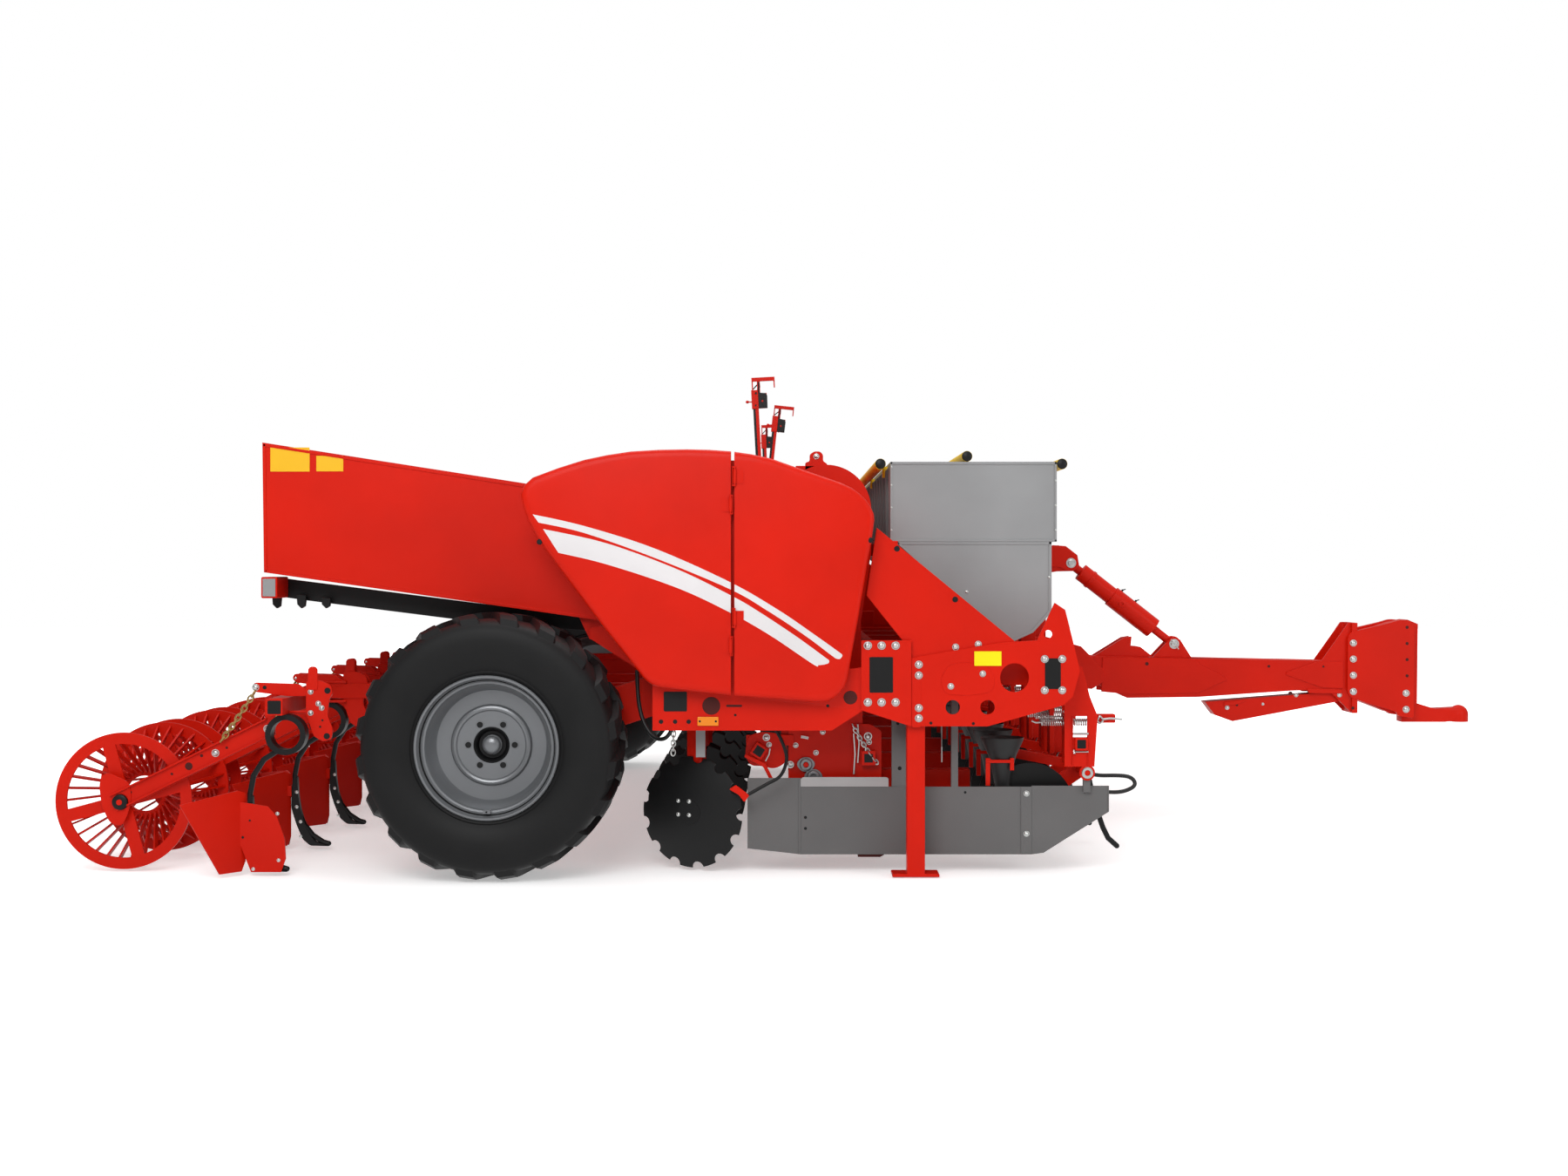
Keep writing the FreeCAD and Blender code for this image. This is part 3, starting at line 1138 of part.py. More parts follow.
def main():
    save("cross_beams", Part.makeCompound(beams()))
    save("side_frames", both_sides(Part.makeCompound([side_frame(), jack_sleeve(), hinge_pillar()])))
    save("frame_rails", Part.makeCompound([rails(), hopper_brackets()]))
    save("frame_head", frame_head())
    save("wheel_arms", wheel_arms())
    save("feed_trough", trough())
    save("belt_housings", Part.makeCompound([belt_housing(row) for row in ROW_YS]))
    save("planting_units", Part.makeCompound([planting_unit(row) for row in ROW_YS]))
    save("lever_posts", Part.makeCompound([cross_tube(), lever_posts()]))
    save("fertiliser_tank", fertiliser_tank())
    save("guard_tubes", guard_tubes())
    save("tank_supports", tank_supports())
    save("skirts", both_sides(skirt()))
    save("disc_legs", disc_legs())
    save("coulter_legs", Part.makeCompound([coulter_legs(row) for row in ROW_YS]))
    save("rear_frame", Part.makeCompound([toolbar(), roller_arms()]))
    tines = [tine(y) for y in FURROW_YS] + [front_tine(row - FRONT_TINE_ROW_OFFSET) for row in ROW_YS]
    save("spring_tines", Part.makeCompound(tines))
    save("ridger_bodies", Part.makeCompound([ridger(y) for y in FURROW_YS]))
    save("hopper", hopper())
    save("hose_front", front_hose())
    save("hose_rear", rear_hose())
    for side, end in ((-1, "rear"), (1, "front")):
        panel = door(side)
        save("door_%s_right" % end, panel)
        save("door_%s_left" % end, mirrored(panel))
    wheel_tyre, wheel_rim = seated_tyre(), rim()
    for side, name in ((-1, "right"), (1, "left")):
        save("tyre_" + name, place_wheel(wheel_tyre, side))
        save("rim_" + name, place_wheel(wheel_rim, side))
    save("jack_right", jack())
    save("jack_left", mirrored(jack()))
    save("drawbar", drawbar())
    save("hitch", hitch())
    save("parking_leg", parking_leg())
    save("cylinder_barrel", cylinder_barrel())
    save("cylinder_rod", cylinder_rod())
    disc = covering_disc()
    for i, row in enumerate(ROW_YS):
        save("roller_%d" % (i + 1), roller(row))
        save("coulter_%d" % (i + 1), coulter(row))
        for side, name in ((-1, "right"), (1, "left")):
            save("disc_%d_%s" % (i + 1, name), disc_frame(disc, row, side))


main()
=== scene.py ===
import bpy
import bmesh
import json
import math
from mathutils import Matrix, Vector


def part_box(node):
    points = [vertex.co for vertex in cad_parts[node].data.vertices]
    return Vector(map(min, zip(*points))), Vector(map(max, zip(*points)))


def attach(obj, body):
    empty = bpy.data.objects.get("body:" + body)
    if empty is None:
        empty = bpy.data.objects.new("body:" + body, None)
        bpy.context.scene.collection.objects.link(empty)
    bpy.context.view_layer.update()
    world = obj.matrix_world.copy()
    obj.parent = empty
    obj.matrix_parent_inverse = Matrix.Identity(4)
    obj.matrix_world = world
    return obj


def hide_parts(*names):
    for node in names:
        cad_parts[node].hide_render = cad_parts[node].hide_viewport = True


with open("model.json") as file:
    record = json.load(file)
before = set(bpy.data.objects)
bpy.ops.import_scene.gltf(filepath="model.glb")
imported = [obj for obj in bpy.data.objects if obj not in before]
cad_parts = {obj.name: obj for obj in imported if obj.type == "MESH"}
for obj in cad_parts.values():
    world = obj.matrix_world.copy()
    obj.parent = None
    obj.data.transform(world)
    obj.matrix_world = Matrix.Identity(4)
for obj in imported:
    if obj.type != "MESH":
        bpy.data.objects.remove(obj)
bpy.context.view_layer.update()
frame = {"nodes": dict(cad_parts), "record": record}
nodes = frame["nodes"]
bpy.context.scene.view_settings.view_transform = "Standard"


# --- Camera -------------------------------------------------------------------------------
# A level camera square to the machine's right-hand side, a little above wheel height.
def placed(name, data):
    """An object made of its data and put in the scene."""
    item = bpy.data.objects.new(name, data)
    bpy.context.scene.collection.objects.link(item)
    return item


camera_data = bpy.data.cameras.new("camera")
camera_data.sensor_width = 36.0
camera_data.lens = 43.2
camera_data.shift_y = -0.0139
camera = placed("camera", camera_data)
camera.location = (-0.292, -10.42, 1.339)
camera.rotation_euler = (math.radians(90), 0, 0)
bpy.context.scene.camera = camera


# --- Hydraulic hoses ----------------------------------------------------------------------
# Two black rubber hoses with a wire braid inside. One loops out in front of the right-hand
# coulter, the other sags from the hopper bracket to the rear beam. Both ends are crimped on.
rim_low, rim_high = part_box("rim_right")
axle_x = (rim_low[0] + rim_high[0]) / 2
hose_radius = 0.009


def spot(x, y, z):
    """A point set out in millimetres from the wheel axle, the middle plane and the ground."""
    return Vector((x / 1000 + axle_x, y / 1000, z / 1000))


def linear(code):
    """An sRGB hex colour as the linear values that a shader takes."""
    channels = [int(code[i:i + 2], 16) / 255 for i in (1, 3, 5)]
    return [c / 12.92 if c <= 0.04045 else ((c + 0.055) / 1.055) ** 2.4 for c in channels] + [1.0]


def add(tree, kind, settings=None, inputs=None, links=None):
    """One node with its settings, its input values and the sockets that feed it."""
    node = tree.nodes.new(kind)
    for key, value in (settings or {}).items():
        setattr(node, key, value)
    for key, value in (inputs or {}).items():
        node.inputs[key].default_value = value
    for key, source in (links or {}).items():
        tree.links.new(source, node.inputs[key])
    return node


def finish(name, tones, rough, grain, cloud=None, patches=None, metallic=0.0, ior=None):
    """A procedural finish made of noises, each given by its scale and detail.

    The grain has its bump's strength and depth in metres as well. The cloud, or else the
    grain, moves the roughness between two values, and patches, which also have the noise
    levels where they start and end, move the tone between two colours."""
    material = bpy.data.materials.new(name)
    material.use_nodes = True
    nt = material.node_tree
    shader = nt.nodes["Principled BSDF"]
    place = add(nt, "ShaderNodeTexCoord").outputs["Object"]

    def noise(scale, detail):
        return add(nt, "ShaderNodeTexNoise", inputs={"Scale": scale, "Detail": detail},
                   links={"Vector": place}).outputs[0]

    fine = noise(*grain[:2])
    cloudy = noise(*cloud) if cloud else fine
    shader.inputs["Metallic"].default_value = metallic
    if ior:
        shader.inputs["IOR"].default_value = ior
    shader.inputs["Base Color"].default_value = tones[0]
    if patches:
        ramp = add(nt, "ShaderNodeValToRGB", links={"Fac": noise(*patches[:2])})
        for stop, level, tone in zip(ramp.color_ramp.elements, patches[2:], tones):
            stop.position, stop.color = level, tone
        nt.links.new(ramp.outputs[0], shader.inputs["Base Color"])
    gloss = add(nt, "ShaderNodeMapRange", {}, {"To Min": rough[0], "To Max": rough[1]}, {"Value": cloudy})
    nt.links.new(gloss.outputs[0], shader.inputs["Roughness"])
    bump = add(nt, "ShaderNodeBump", inputs={"Strength": grain[2], "Distance": grain[3]},
               links={"Height": fine})
    nt.links.new(bump.outputs[0], shader.inputs["Normal"])
    return material


# Extruded rubber cover: dull black with a fine cloth print, drawn at 3 mm to show.
hose_rubber = finish("black_hose_rubber", [linear("#161617")], (0.42, 0.56),
                     (330.0, 1.0, 0.15, 0.0005))


def hose(node, points):
    """One hose along its points, in the place of its CAD node."""
    line = bpy.data.curves.new(node + "_line", "CURVE")
    line.dimensions = "3D"
    line.bevel_depth = hose_radius
    line.bevel_resolution = 4
    line.resolution_u = 16
    line.use_fill_caps = True
    route = line.splines.new("NURBS")
    route.points.add(len(points) - 1)
    for knot, point in zip(route.points, points):
        knot.co = (*spot(*point), 1)
    route.order_u = 3
    route.use_endpoint_u = True
    line.materials.append(hose_rubber)
    item = placed(node + "_line", line)
    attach(item, "frame")
    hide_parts(node)


hose("hose_front", [(2599, -1885, 423), (2640, -1885, 388), (2796, -1890, 392), (2840, -1900, 378),
                    (2850, -1907, 345), (2796, -1920, 321), (2733, -1925, 317), (2640, -1925, 330),
                    (2592.5, -1925, 417.7)])
hose("hose_rear", [(610, -2121, 881), (612, -2130, 760), (640, -2160, 650), (690, -2200, 585),
                   (745, -2240, 585), (780, -2260, 645), (780, -2260, 716)])


# --- Studio -------------------------------------------------------------------------------
# A plain white floor and surround, lit by large soft lamps. The floor keeps the shadow of
# the machine and fades to plain white away from it; gloss and glass see plain white too.
white_light = (1, 1, 1, 1)
floor_half, floor_z = 30, -0.004
floor_mesh = bpy.data.meshes.new("studio_floor")
floor_mesh.from_pydata([(x * floor_half, y * floor_half, floor_z)
                        for x, y in ((-1, -1), (1, -1), (1, 1), (-1, 1))], [], [(0, 1, 2, 3)])
floor = placed("studio_floor", floor_mesh)
floor_paint = bpy.data.materials.new("white_studio_floor")
floor_paint.use_nodes = True
tree = floor_paint.node_tree
tree.nodes.clear()
matt = add(tree, "ShaderNodeBsdfPrincipled", inputs={"Base Color": linear("#F2F2F2"), "Roughness": 0.9})
path = add(tree, "ShaderNodeLightPath")
place = add(tree, "ShaderNodeTexCoord")
reach = add(tree, "ShaderNodeVectorMath", {"operation": "LENGTH"}, links={0: place.outputs["Object"]})
fade = add(tree, "ShaderNodeMapRange", {}, {"From Min": 3.2, "From Max": 6.0, "To Min": 0.38, "To Max": 1.0},
           {"Value": reach.outputs["Value"]})
lift = add(tree, "ShaderNodeMath", {"operation": "MULTIPLY"},
           links={0: path.outputs["Is Camera Ray"], 1: fade.outputs[0]})
paper = add(tree, "ShaderNodeEmission", inputs={"Color": white_light}, links={"Strength": lift.outputs[0]})
near = add(tree, "ShaderNodeAddShader", links={0: matt.outputs[0], 1: paper.outputs[0]})
unlit = add(tree, "ShaderNodeMath", {"operation": "MAXIMUM"},
            links={0: path.outputs["Is Glossy Ray"], 1: path.outputs["Is Transmission Ray"]})
white = add(tree, "ShaderNodeEmission", inputs={"Color": white_light, "Strength": 1.0})
floor_mix = add(tree, "ShaderNodeMixShader",
                links={0: unlit.outputs[0], 1: near.outputs[0], 2: white.outputs[0]})
add(tree, "ShaderNodeOutputMaterial", links={"Surface": floor_mix.outputs[0]})
floor_mesh.materials.append(floor_paint)

world = bpy.data.worlds.new("studio")
bpy.context.scene.world = world
world.use_nodes = True
tree = world.node_tree
tree.nodes.clear()
path = add(tree, "ShaderNodeLightPath")
seen = add(tree, "ShaderNodeMath", {"operation": "MAXIMUM"},
           links={0: path.outputs["Is Camera Ray"], 1: path.outputs["Is Transmission Ray"]})
direction = add(tree, "ShaderNodeSeparateXYZ",
                links={0: add(tree, "ShaderNodeTexCoord").outputs["Generated"]})
dome = add(tree, "ShaderNodeMapRange", {}, {"From Min": 0.0, "From Max": 0.9, "To Min": 0.24, "To Max": 0.78},
           {"Value": direction.outputs["Z"]})
strength = add(tree, "ShaderNodeMapRange", {}, {"To Max": 1.0},
               {"Value": seen.outputs[0], "To Min": dome.outputs[0]})
sky = add(tree, "ShaderNodeBackground", inputs={"Color": white_light},
          links={"Strength": strength.outputs[0]})
add(tree, "ShaderNodeOutputWorld", links={"Surface": sky.outputs[0]})

for name, place, target, size, watts in (("key_lamp", (-2.0, -8.5, 5.2), (0, 0, 1.0), 4.0, 310),
                                         ("front_lamp", (6.5, -6.5, 3.0), (1.0, 0, 0.9), 3.0, 100),
                                         ("top_lamp", (0.0, 0.5, 7.5), (0, 0, 0), 6.0, 220)):
    light = bpy.data.lights.new(name, "AREA")
    light.shape = "SQUARE"
    light.size = size
    light.energy = watts
    lamp = placed(name, light)
    lamp.location = place
    lamp.rotation_euler = (Vector(target) - Vector(place)).to_track_quat("-Z", "Y").to_euler()


# --- Sheet and frame steel ----------------------------------------------------------------
# Most of the machine is welded and folded steel, sprayed in a bright red enamel and baked.
# The enamel is glossy with a faint orange peel, a little deeper in tone where it lies thick.
def enamel(name, code, roughness, peel=0.05, metallic=0.0, ior=1.36):
    """Baked enamel: orange peel as a fine bump (drawn at 9 mm), tone varying over 0.4 m."""
    base = linear(code)[:3]
    tones = ([c * 0.9 for c in base] + [1], [min(c * 1.06, 1) for c in base] + [1])
    return finish(name, tones, (roughness - 0.05, roughness + 0.06), (110.0, 1.0, peel, 0.001),
                  (14.0, 4.0), (2.5, 3.0, 0.3, 0.75), metallic, None if metallic else ior)


red = enamel("red_baked_enamel", "#CF1903", 0.38, ior=1.25)
grey = enamel("light_grey_baked_enamel", "#949596", 0.44)
silver = enamel("silver_wheel_enamel", "#7A7C7F", 0.33, metallic=0.5)
# Black enamel for the black parts; the same black also stands as painted shade in holes, tube ends, the
# hopper's underframe and the lever posts.
black = enamel("black_enamel_and_painted_shade", "#0D0D0E", 0.46)
yellow = enamel("yellow_powder_coat", "#F0C405", 0.42)


def piece(name, bm, body, material, round_off=0.0, stands_for=(), angle=35):
    """Finish a mesh as one piece: outward faces, rounded edges, material and body; the CAD parts it stands
    for are hidden.
    """
    bmesh.ops.recalc_face_normals(bm, faces=bm.faces)
    mesh = bpy.data.meshes.new(name)
    bm.to_mesh(mesh)
    bm.free()
    mesh.materials.append(material)
    item = placed(name, mesh)
    if angle:
        mesh.shade_smooth()
        mesh.set_sharp_from_angle(angle=math.radians(angle))
    if round_off:
        bevel = item.modifiers.new("rounded_edges", "BEVEL")
        bevel.width = round_off / 1000
        bevel.segments = 2
        bevel.limit_method = "ANGLE"
        bevel.angle_limit = math.radians(30)
        bevel.harden_normals = True
        bevel.use_clamp_overlap = True
    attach(item, body)
    if stands_for:
        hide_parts(*stands_for)


def rounded_copy(node, width, material=red, body="frame"):
    """A CAD piece again with its sharp edges taken off, as sheet and plate have."""
    bm = bmesh.new()
    bm.from_mesh(nodes[node].data)
    bmesh.ops.remove_doubles(bm, verts=bm.verts, dist=1e-5)
    bmesh.ops.dissolve_limit(bm, angle_limit=math.radians(1.0), verts=bm.verts, edges=bm.edges)
    piece(node + "_plates", bm, body, material, width, (node,))


slots = {s["node"]: s["material_slot"] for s in frame["record"]["subparts"]}
finishes = {"grey_paint": grey, "silver_paint": silver, "disc_steel": black, "yellow_tube": yellow,
            "hose_rubber": hose_rubber}
for name, node in nodes.items():
    node.data.materials.clear()
    node.data.materials.append(finishes.get(slots[name], red))
for name, width in (("side_frames", 2.5), ("frame_head", 3.0), ("planting_units", 2.0), ("rear_frame", 2.0),
                    ("tank_supports", 2.0), ("wheel_arms", 4.0), ("coulter_legs", 2.0)):
    rounded_copy(name, width)
for name, body in (("drawbar", "drawbar"), ("hitch", "drawbar"), ("parking_leg", "parking_leg"),
                   ("jack_right", "jack_right"), ("jack_left", "jack_left")):
    rounded_copy(name, 4.0, body=body)


# --- Bolts --------------------------------------------------------------------------------
# Domed flange bolts of zinc-plated steel hold plates, clamps and tools. They are pressed and
# plated in one go, so every head is the same: a flat washer face under a low bright dome.
def plated(name, code, roughness):
    """Bright plated steel: metal at its default IOR, faint streaks of plating."""
    return finish(name, [linear(code)], (roughness - 0.06, roughness + 0.1),
                  (60.0, 3.0, 0.08, 0.0005), metallic=1.0)


zinc = plated("zinc_plated_steel", "#CFD0CE", 0.3)
chrome = plated("hard_chrome_steel", "#DADCDD", 0.16)
for name in nodes:
    if slots[name] == "bright_steel":
        nodes[name].data.materials[0] = chrome


def group(name, numbers):
    """Geometry Nodes group with a mesh in, a mesh out and the named sizes in metres."""
    nt = bpy.data.node_groups.new(name, "GeometryNodeTree")
    nt.interface.new_socket("Geometry", in_out="INPUT", socket_type="NodeSocketGeometry")
    for label, value in numbers.items():
        socket = nt.interface.new_socket(label, in_out="INPUT", socket_type="NodeSocketFloat")
        socket.default_value = value
    nt.interface.new_socket("Geometry", in_out="OUTPUT", socket_type="NodeSocketGeometry")
    return nt, add(nt, "NodeGroupInput")


def facing_turn(nt, axis):
    """Turn of each point that brings an axis to the point's own facing."""
    facing = add(nt, "GeometryNodeInputNamedAttribute", {"data_type": "FLOAT_VECTOR"}, {"Name": "facing"})
    return add(nt, "FunctionNodeAlignEulerToVector", {"axis": axis}, links={"Vector": facing.outputs[0]})


def copied(nt, given, shape, turn, metal):
    """Ends a group: the shape on every point, turned, made real and given its metal."""
    copies = add(nt, "GeometryNodeInstanceOnPoints",
                 links={"Points": given.outputs[0], "Instance": shape.outputs[0],
                        "Rotation": turn.outputs[0]})
    real = add(nt, "GeometryNodeRealizeInstances", links={"Geometry": copies.outputs[0]})
    coated = add(nt, "GeometryNodeSetMaterial", inputs={"Material": metal},
                 links={"Geometry": real.outputs[0]})
    add(nt, "NodeGroupOutput", links={0: coated.outputs[0]})
    return nt


def bolt_tree():
    """Group that puts a domed head with a washer face on every point."""
    nt, given = group("bolt_heads", {"Radius": 0.015})
    radius = given.outputs["Radius"]
    thin = add(nt, "ShaderNodeMath", {"operation": "MULTIPLY"}, {1: 0.22}, {0: radius})
    dome = add(nt, "GeometryNodeMeshUVSphere", inputs={"Segments": 12, "Rings": 8}, links={"Radius": radius})
    low = add(nt, "GeometryNodeTransform", inputs={"Scale": (0.86, 0.86, 0.62)},
              links={"Geometry": dome.outputs[0]})
    washer = add(nt, "GeometryNodeMeshCylinder", inputs={"Vertices": 16},
                 links={"Radius": radius, "Depth": thin.outputs[0]})
    head = add(nt, "GeometryNodeJoinGeometry", links={0: washer.outputs[0]})
    nt.links.new(low.outputs[0], head.inputs[0])
    return copied(nt, given, head, facing_turn(nt, "Z"), zinc)


bolt_heads = bolt_tree()


def grown(name, points, facings, nt, values, body="frame"):
    """Runs a node group on bare points and keeps the result as one plain mesh."""
    seed = bpy.data.meshes.new(name + "_points")
    seed.from_pydata(points, [], [])
    attribute = seed.attributes.new("facing", "FLOAT_VECTOR", "POINT")
    for i, facing in enumerate(facings):
        attribute.data[i].vector = facing
    source = placed(name + "_points", seed)
    grower = source.modifiers.new("grow", "NODES")
    grower.node_group = nt
    ids = {s.name: s.identifier for s in nt.interface.items_tree if s.in_out == "INPUT"}
    for label, value in values.items():
        grower[ids[label]] = value
    mesh = bpy.data.meshes.new_from_object(source.evaluated_get(bpy.context.evaluated_depsgraph_get()))
    mesh.shade_smooth()
    mesh.set_sharp_from_angle(angle=math.radians(40))
    source.modifiers.remove(grower)
    bpy.data.objects.remove(source)
    item = placed(name, mesh)
    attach(item, body)


def heads(name, radius, places, body="frame"):
    """Bolt heads at (x, y, z) in millimetres, each with the way it faces."""
    grown(name, [spot(*at) for at, way in places], [Vector(way) for at, way in places], bolt_heads,
          {"Radius": radius / 1000}, body)


def bolts(name, radius, places, body="frame", hands=(1, -1)):
    """Bolt heads on the right-hand side facing outwards, and on the left-hand side as well."""
    heads(name, radius, [((x, y * hand, z), (0, -hand, 0)) for hand in hands for x, y, z in places], body)


# --- Tyres --------------------------------------------------------------------------------
# Wide low-pressure flotation tyres: black moulded rubber, a smooth round flank with a bead
# ring by the rim, and slanting bar lugs that meet along the crown in two staggered rows.
def band(bm, a, b):
    """Faces between two closed rings of vertices."""
    for i in range(len(a)):
        j = (i + 1) % len(a)
        bm.faces.new((a[i], a[j], b[j], b[i]))


def skin(bm, rings):
    """Closed skin over a row of rings, with a face on each end."""
    for a, b in zip(rings, rings[1:]):
        band(bm, a, b)
    bm.faces.new(rings[0][::-1])
    bm.faces.new(rings[-1])


def lathe(bm, profile, centre, steps, hand=1, axis="Y"):
    """Profile of (radius, along-axis) pairs in millimetres, spun about a line through centre."""
    rings = []
    for k in range(steps):
        turn = 2 * math.pi * k / steps
        c, s = math.cos(turn), math.sin(turn)
        ring = []
        for r, along in profile:
            h = along * hand
            x, y, z = {"Y": (r * c, h, r * s), "X": (h, r * c, r * s), "Z": (r * c, r * s, h)}[axis]
            ring.append(bm.verts.new(spot(centre[0] + x, centre[1] + y, centre[2] + z)))
        rings.append(ring)
    for this, other in zip(rings, rings[1:] + rings[:1]):
        for i in range(len(profile) - 1):
            bm.faces.new((this[i], this[i + 1], other[i + 1], other[i]))
    bmesh.ops.remove_doubles(bm, verts=bm.verts, dist=1e-6)


# Carbon-black rubber from a worn mould: a dull black whose gloss drifts, grain drawn at 4 mm.
tyre_rubber = finish("moulded_tyre_rubber", (linear("#0A0A0B"), linear("#121213")),
                     (0.5, 0.66), (250.0, 2.0, 0.12, 0.001), (6.0, 5.0), (6.0, 5.0, 0.35, 0.8), ior=1.34)
nodes["tyre_right"].data.materials[0] = tyre_rubber
nodes["tyre_left"].data.materials[0] = tyre_rubber
tyre_low, tyre_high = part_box("tyre_right")
tyre_radius = (tyre_high[2] - tyre_low[2]) * 500
wheel_y = -(tyre_low[1] + tyre_high[1]) * 500
bead = 300.0
flank = [(bead - 16, 196), (bead - 4, 212), (bead + 12, 216), (bead + 20, 221), (bead + 26, 217),
         (bead + 36, 223), (362, 238), (410, 246.5), (455, 248.5), (490, 245), (512, 236), (527, 221),
         (537, 198), (542, 160), (543.5, 100), (544, 0)]
lugs, lug_rise, lug_start, lug_reach, lug_fall = 20, 26.0, -10, 240, 0.74
SIDES = ((-1, "right"), (1, "left"))


def on_tyre(away, lift):
    """Radius and half-width of the carcass a distance along its section from the crown."""
    for (r0, w0), (r1, w1) in zip(flank[::-1], flank[-2::-1]):
        step = math.hypot(r1 - r0, w1 - w0)
        if away <= step:
            f = away / step
            return (r0 + (r1 - r0) * f + (w1 - w0) / step * lift,
                    w0 + (w1 - w0) * f + (r0 - r1) / step * lift)
        away -= step
    return flank[0]


def lug(bm, side, hand, start):
    """One bar: nine rings along it, its tail running out into the flank."""
    rings = []
    for f in (i / 8 for i in range(9)):
        away = lug_start + f * lug_reach
        lift = lug_rise if f < lug_fall else lug_rise * (1 - ((f - lug_fall) / (1 - lug_fall)) ** 1.6)
        turn = start + side * (0.02 + 0.215 * f - 0.05 * f * f)
        half_bar = (26 + 20 * f) / tyre_radius
        low, high = on_tyre(max(away, 0), -6), on_tyre(max(away, 0), lift)
        ring = []
        for (r, w), spread in ((low, 1.25), (high, 0.86), (high, -0.86), (low, -1.25)):
            a, r = turn + half_bar * spread, min(r, tyre_radius - 0.3)
            w = lug_start if away < 0 else min(w, 249)
            ring.append(bm.verts.new(spot(r * math.cos(a), side * wheel_y + hand * w,
                                          tyre_radius + r * math.sin(a))))
        rings.append(ring)
    skin(bm, rings)


for side, name in SIDES:
    tread = bmesh.new()
    section = flank + [(r, -w) for r, w in flank[-2::-1]] + [(bead - 16, -170), (bead - 16, 170), flank[0]]
    lathe(tread, section, (0, side * wheel_y, tyre_radius), 120)
    for k in range(lugs):
        for hand in (-1, 1):
            lug(tread, side, hand, (k + (0.5 if hand > 0 else 0)) * 2 * math.pi / lugs)
    piece("tyre_%s_tread" % name, tread, "wheel_" + name, tyre_rubber, 0.0, ("tyre_" + name,), 32)


# --- Rims ---------------------------------------------------------------------------------
# Rolled steel rims with a deep stepped well and a pressed centre disc, in silver enamel. The
# disc holds six wheel-stud holes round a black hub recess with a domed grease cap.
def square(x0, x1, z0, z1):
    """Outline of an upright rectangle."""
    return [(x0, z0), (x1, z0), (x1, z1), (x0, z1)]


def prism(bm, outline, y0, y1):
    """Outline of X-Z points, in millimetres, closed into a solid from y0 to y1."""
    skin(bm, [[bm.verts.new(spot(x, y, z)) for x, z in outline] for y in (y0, y1)])


def bent_bar(bm, route, radius, sides=10):
    """Round bar bent through points in millimetres."""
    rings = []
    points = [spot(*p) for p in route]
    normal = None
    for i, point in enumerate(points):
        way = (points[min(i + 1, len(points) - 1)] - points[max(i - 1, 0)]).normalized()
        if normal is None:
            normal = way.orthogonal().normalized()
        normal = (normal - way * normal.dot(way)).normalized()
        other = way.cross(normal)
        rings.append([bm.verts.new(point + (normal * math.cos(2 * math.pi * k / sides)
                                            + other * math.sin(2 * math.pi * k / sides)) * radius / 1000)
                      for k in range(sides)])
    skin(bm, rings)


def mirrored(bm):
    """Copies all of a mesh to the machine's other side."""
    copy = bmesh.ops.duplicate(bm, geom=bm.verts[:] + bm.edges[:] + bm.faces[:])["geom"]
    for v in copy:
        if isinstance(v, bmesh.types.BMVert):
            v.co.y = -v.co.y
    bmesh.ops.reverse_faces(bm, faces=[f for f in copy if isinstance(f, bmesh.types.BMFace)])


def made(name, material, prisms=(), lathes=(), bars=(), round_off=0.0, body="frame", both=True, stands_for=(),
         angle=35):
    """One piece of prisms, lathed parts and bent bars, on both sides of the machine if asked."""
    bm = bmesh.new()
    for draw, parts in ((prism, prisms), (lathe, lathes), (bent_bar, bars)):
        for part in parts:
            draw(bm, *part)
    if both:
        mirrored(bm)
    piece(name, bm, body, material, round_off, stands_for, angle)


rim_section = [(306, 216), (308, 223), (304, 227), (297, 226), (292, 218), (289, 205), (287, 192), (278, 180),
               (270, 178), (267, 172), (263, 160), (258, 120), (250, 104), (243, 84), (236, 76), (176, 72),
               (174, 77), (168, 85), (160, 88), (152, 85), (146, 78), (120, 76), (79, 76), (76, 74), (76, 40),
               (90, 40), (90, 64), (138, 66), (150, 74), (166, 64), (240, 60), (246, 0), (246, -150),
               (272, -176), (284, -200), (296, -224), (306, -222), (306, -214), (298, -208), (284, -170),
               (262, -140), (256, 0), (262, 100), (272, 130), (284, 170), (298, 208), (306, 216)]
stud_edge = [(13.5, 76.2), (13.5, 77.6), (17, 77.2), (18, 75.8), (13.5, 76.2)]
stud_hole = [(0, 76.6), (13.3, 76.6), (13.3, 70), (0, 70)]
hub_front = [(0, 44), (30, 44), (58, 47), (66, 72), (74, 79), (77, 77), (77, 30), (0, 30)]
hub_back = [(0, -60), (95, -60), (95, -200), (60, -238), (0, -238)]
valve_hole = [(0, 219.8), (4, 219.8), (4, 215), (0, 215)]
cap_section = [(0, 96), (12, 95.3), (26, 91), (34, 86), (38, 78), (39, 66), (42, 64), (42, 46), (0, 46)]
for side, name in SIDES:
    centre, valve_y = (0, side * wheel_y, tyre_radius), side * (wheel_y + 205)
    studs = [(100 * math.cos(turn), side * wheel_y, 100 * math.sin(turn) + tyre_radius)
             for turn in (math.radians(60 * k) for k in range(6))]
    made("rim_%s_pressing" % name, silver, [(square(-16, 16, 292, 306), valve_y - 12, valve_y + 12)],
         [(rim_section, centre, 96, side)] + [(stud_edge, stud, 20, side) for stud in studs],
         body="wheel_" + name, both=False, stands_for=("rim_" + name,), angle=28)
    # The stud and valve holes are black discs: painted shade for their insides.
    made("hub_" + name, black, lathes=[(stud_hole, stud, 20, side) for stud in studs]
         + [(hub_front, centre, 48, side), (hub_back, centre, 40, side),
            (valve_hole, (0, side * wheel_y, 299), 12, side)], body="wheel_" + name, both=False)
    made("grease_cap_" + name, silver, lathes=[(cap_section, centre, 40, side)], body="wheel_" + name,
         both=False, angle=40)


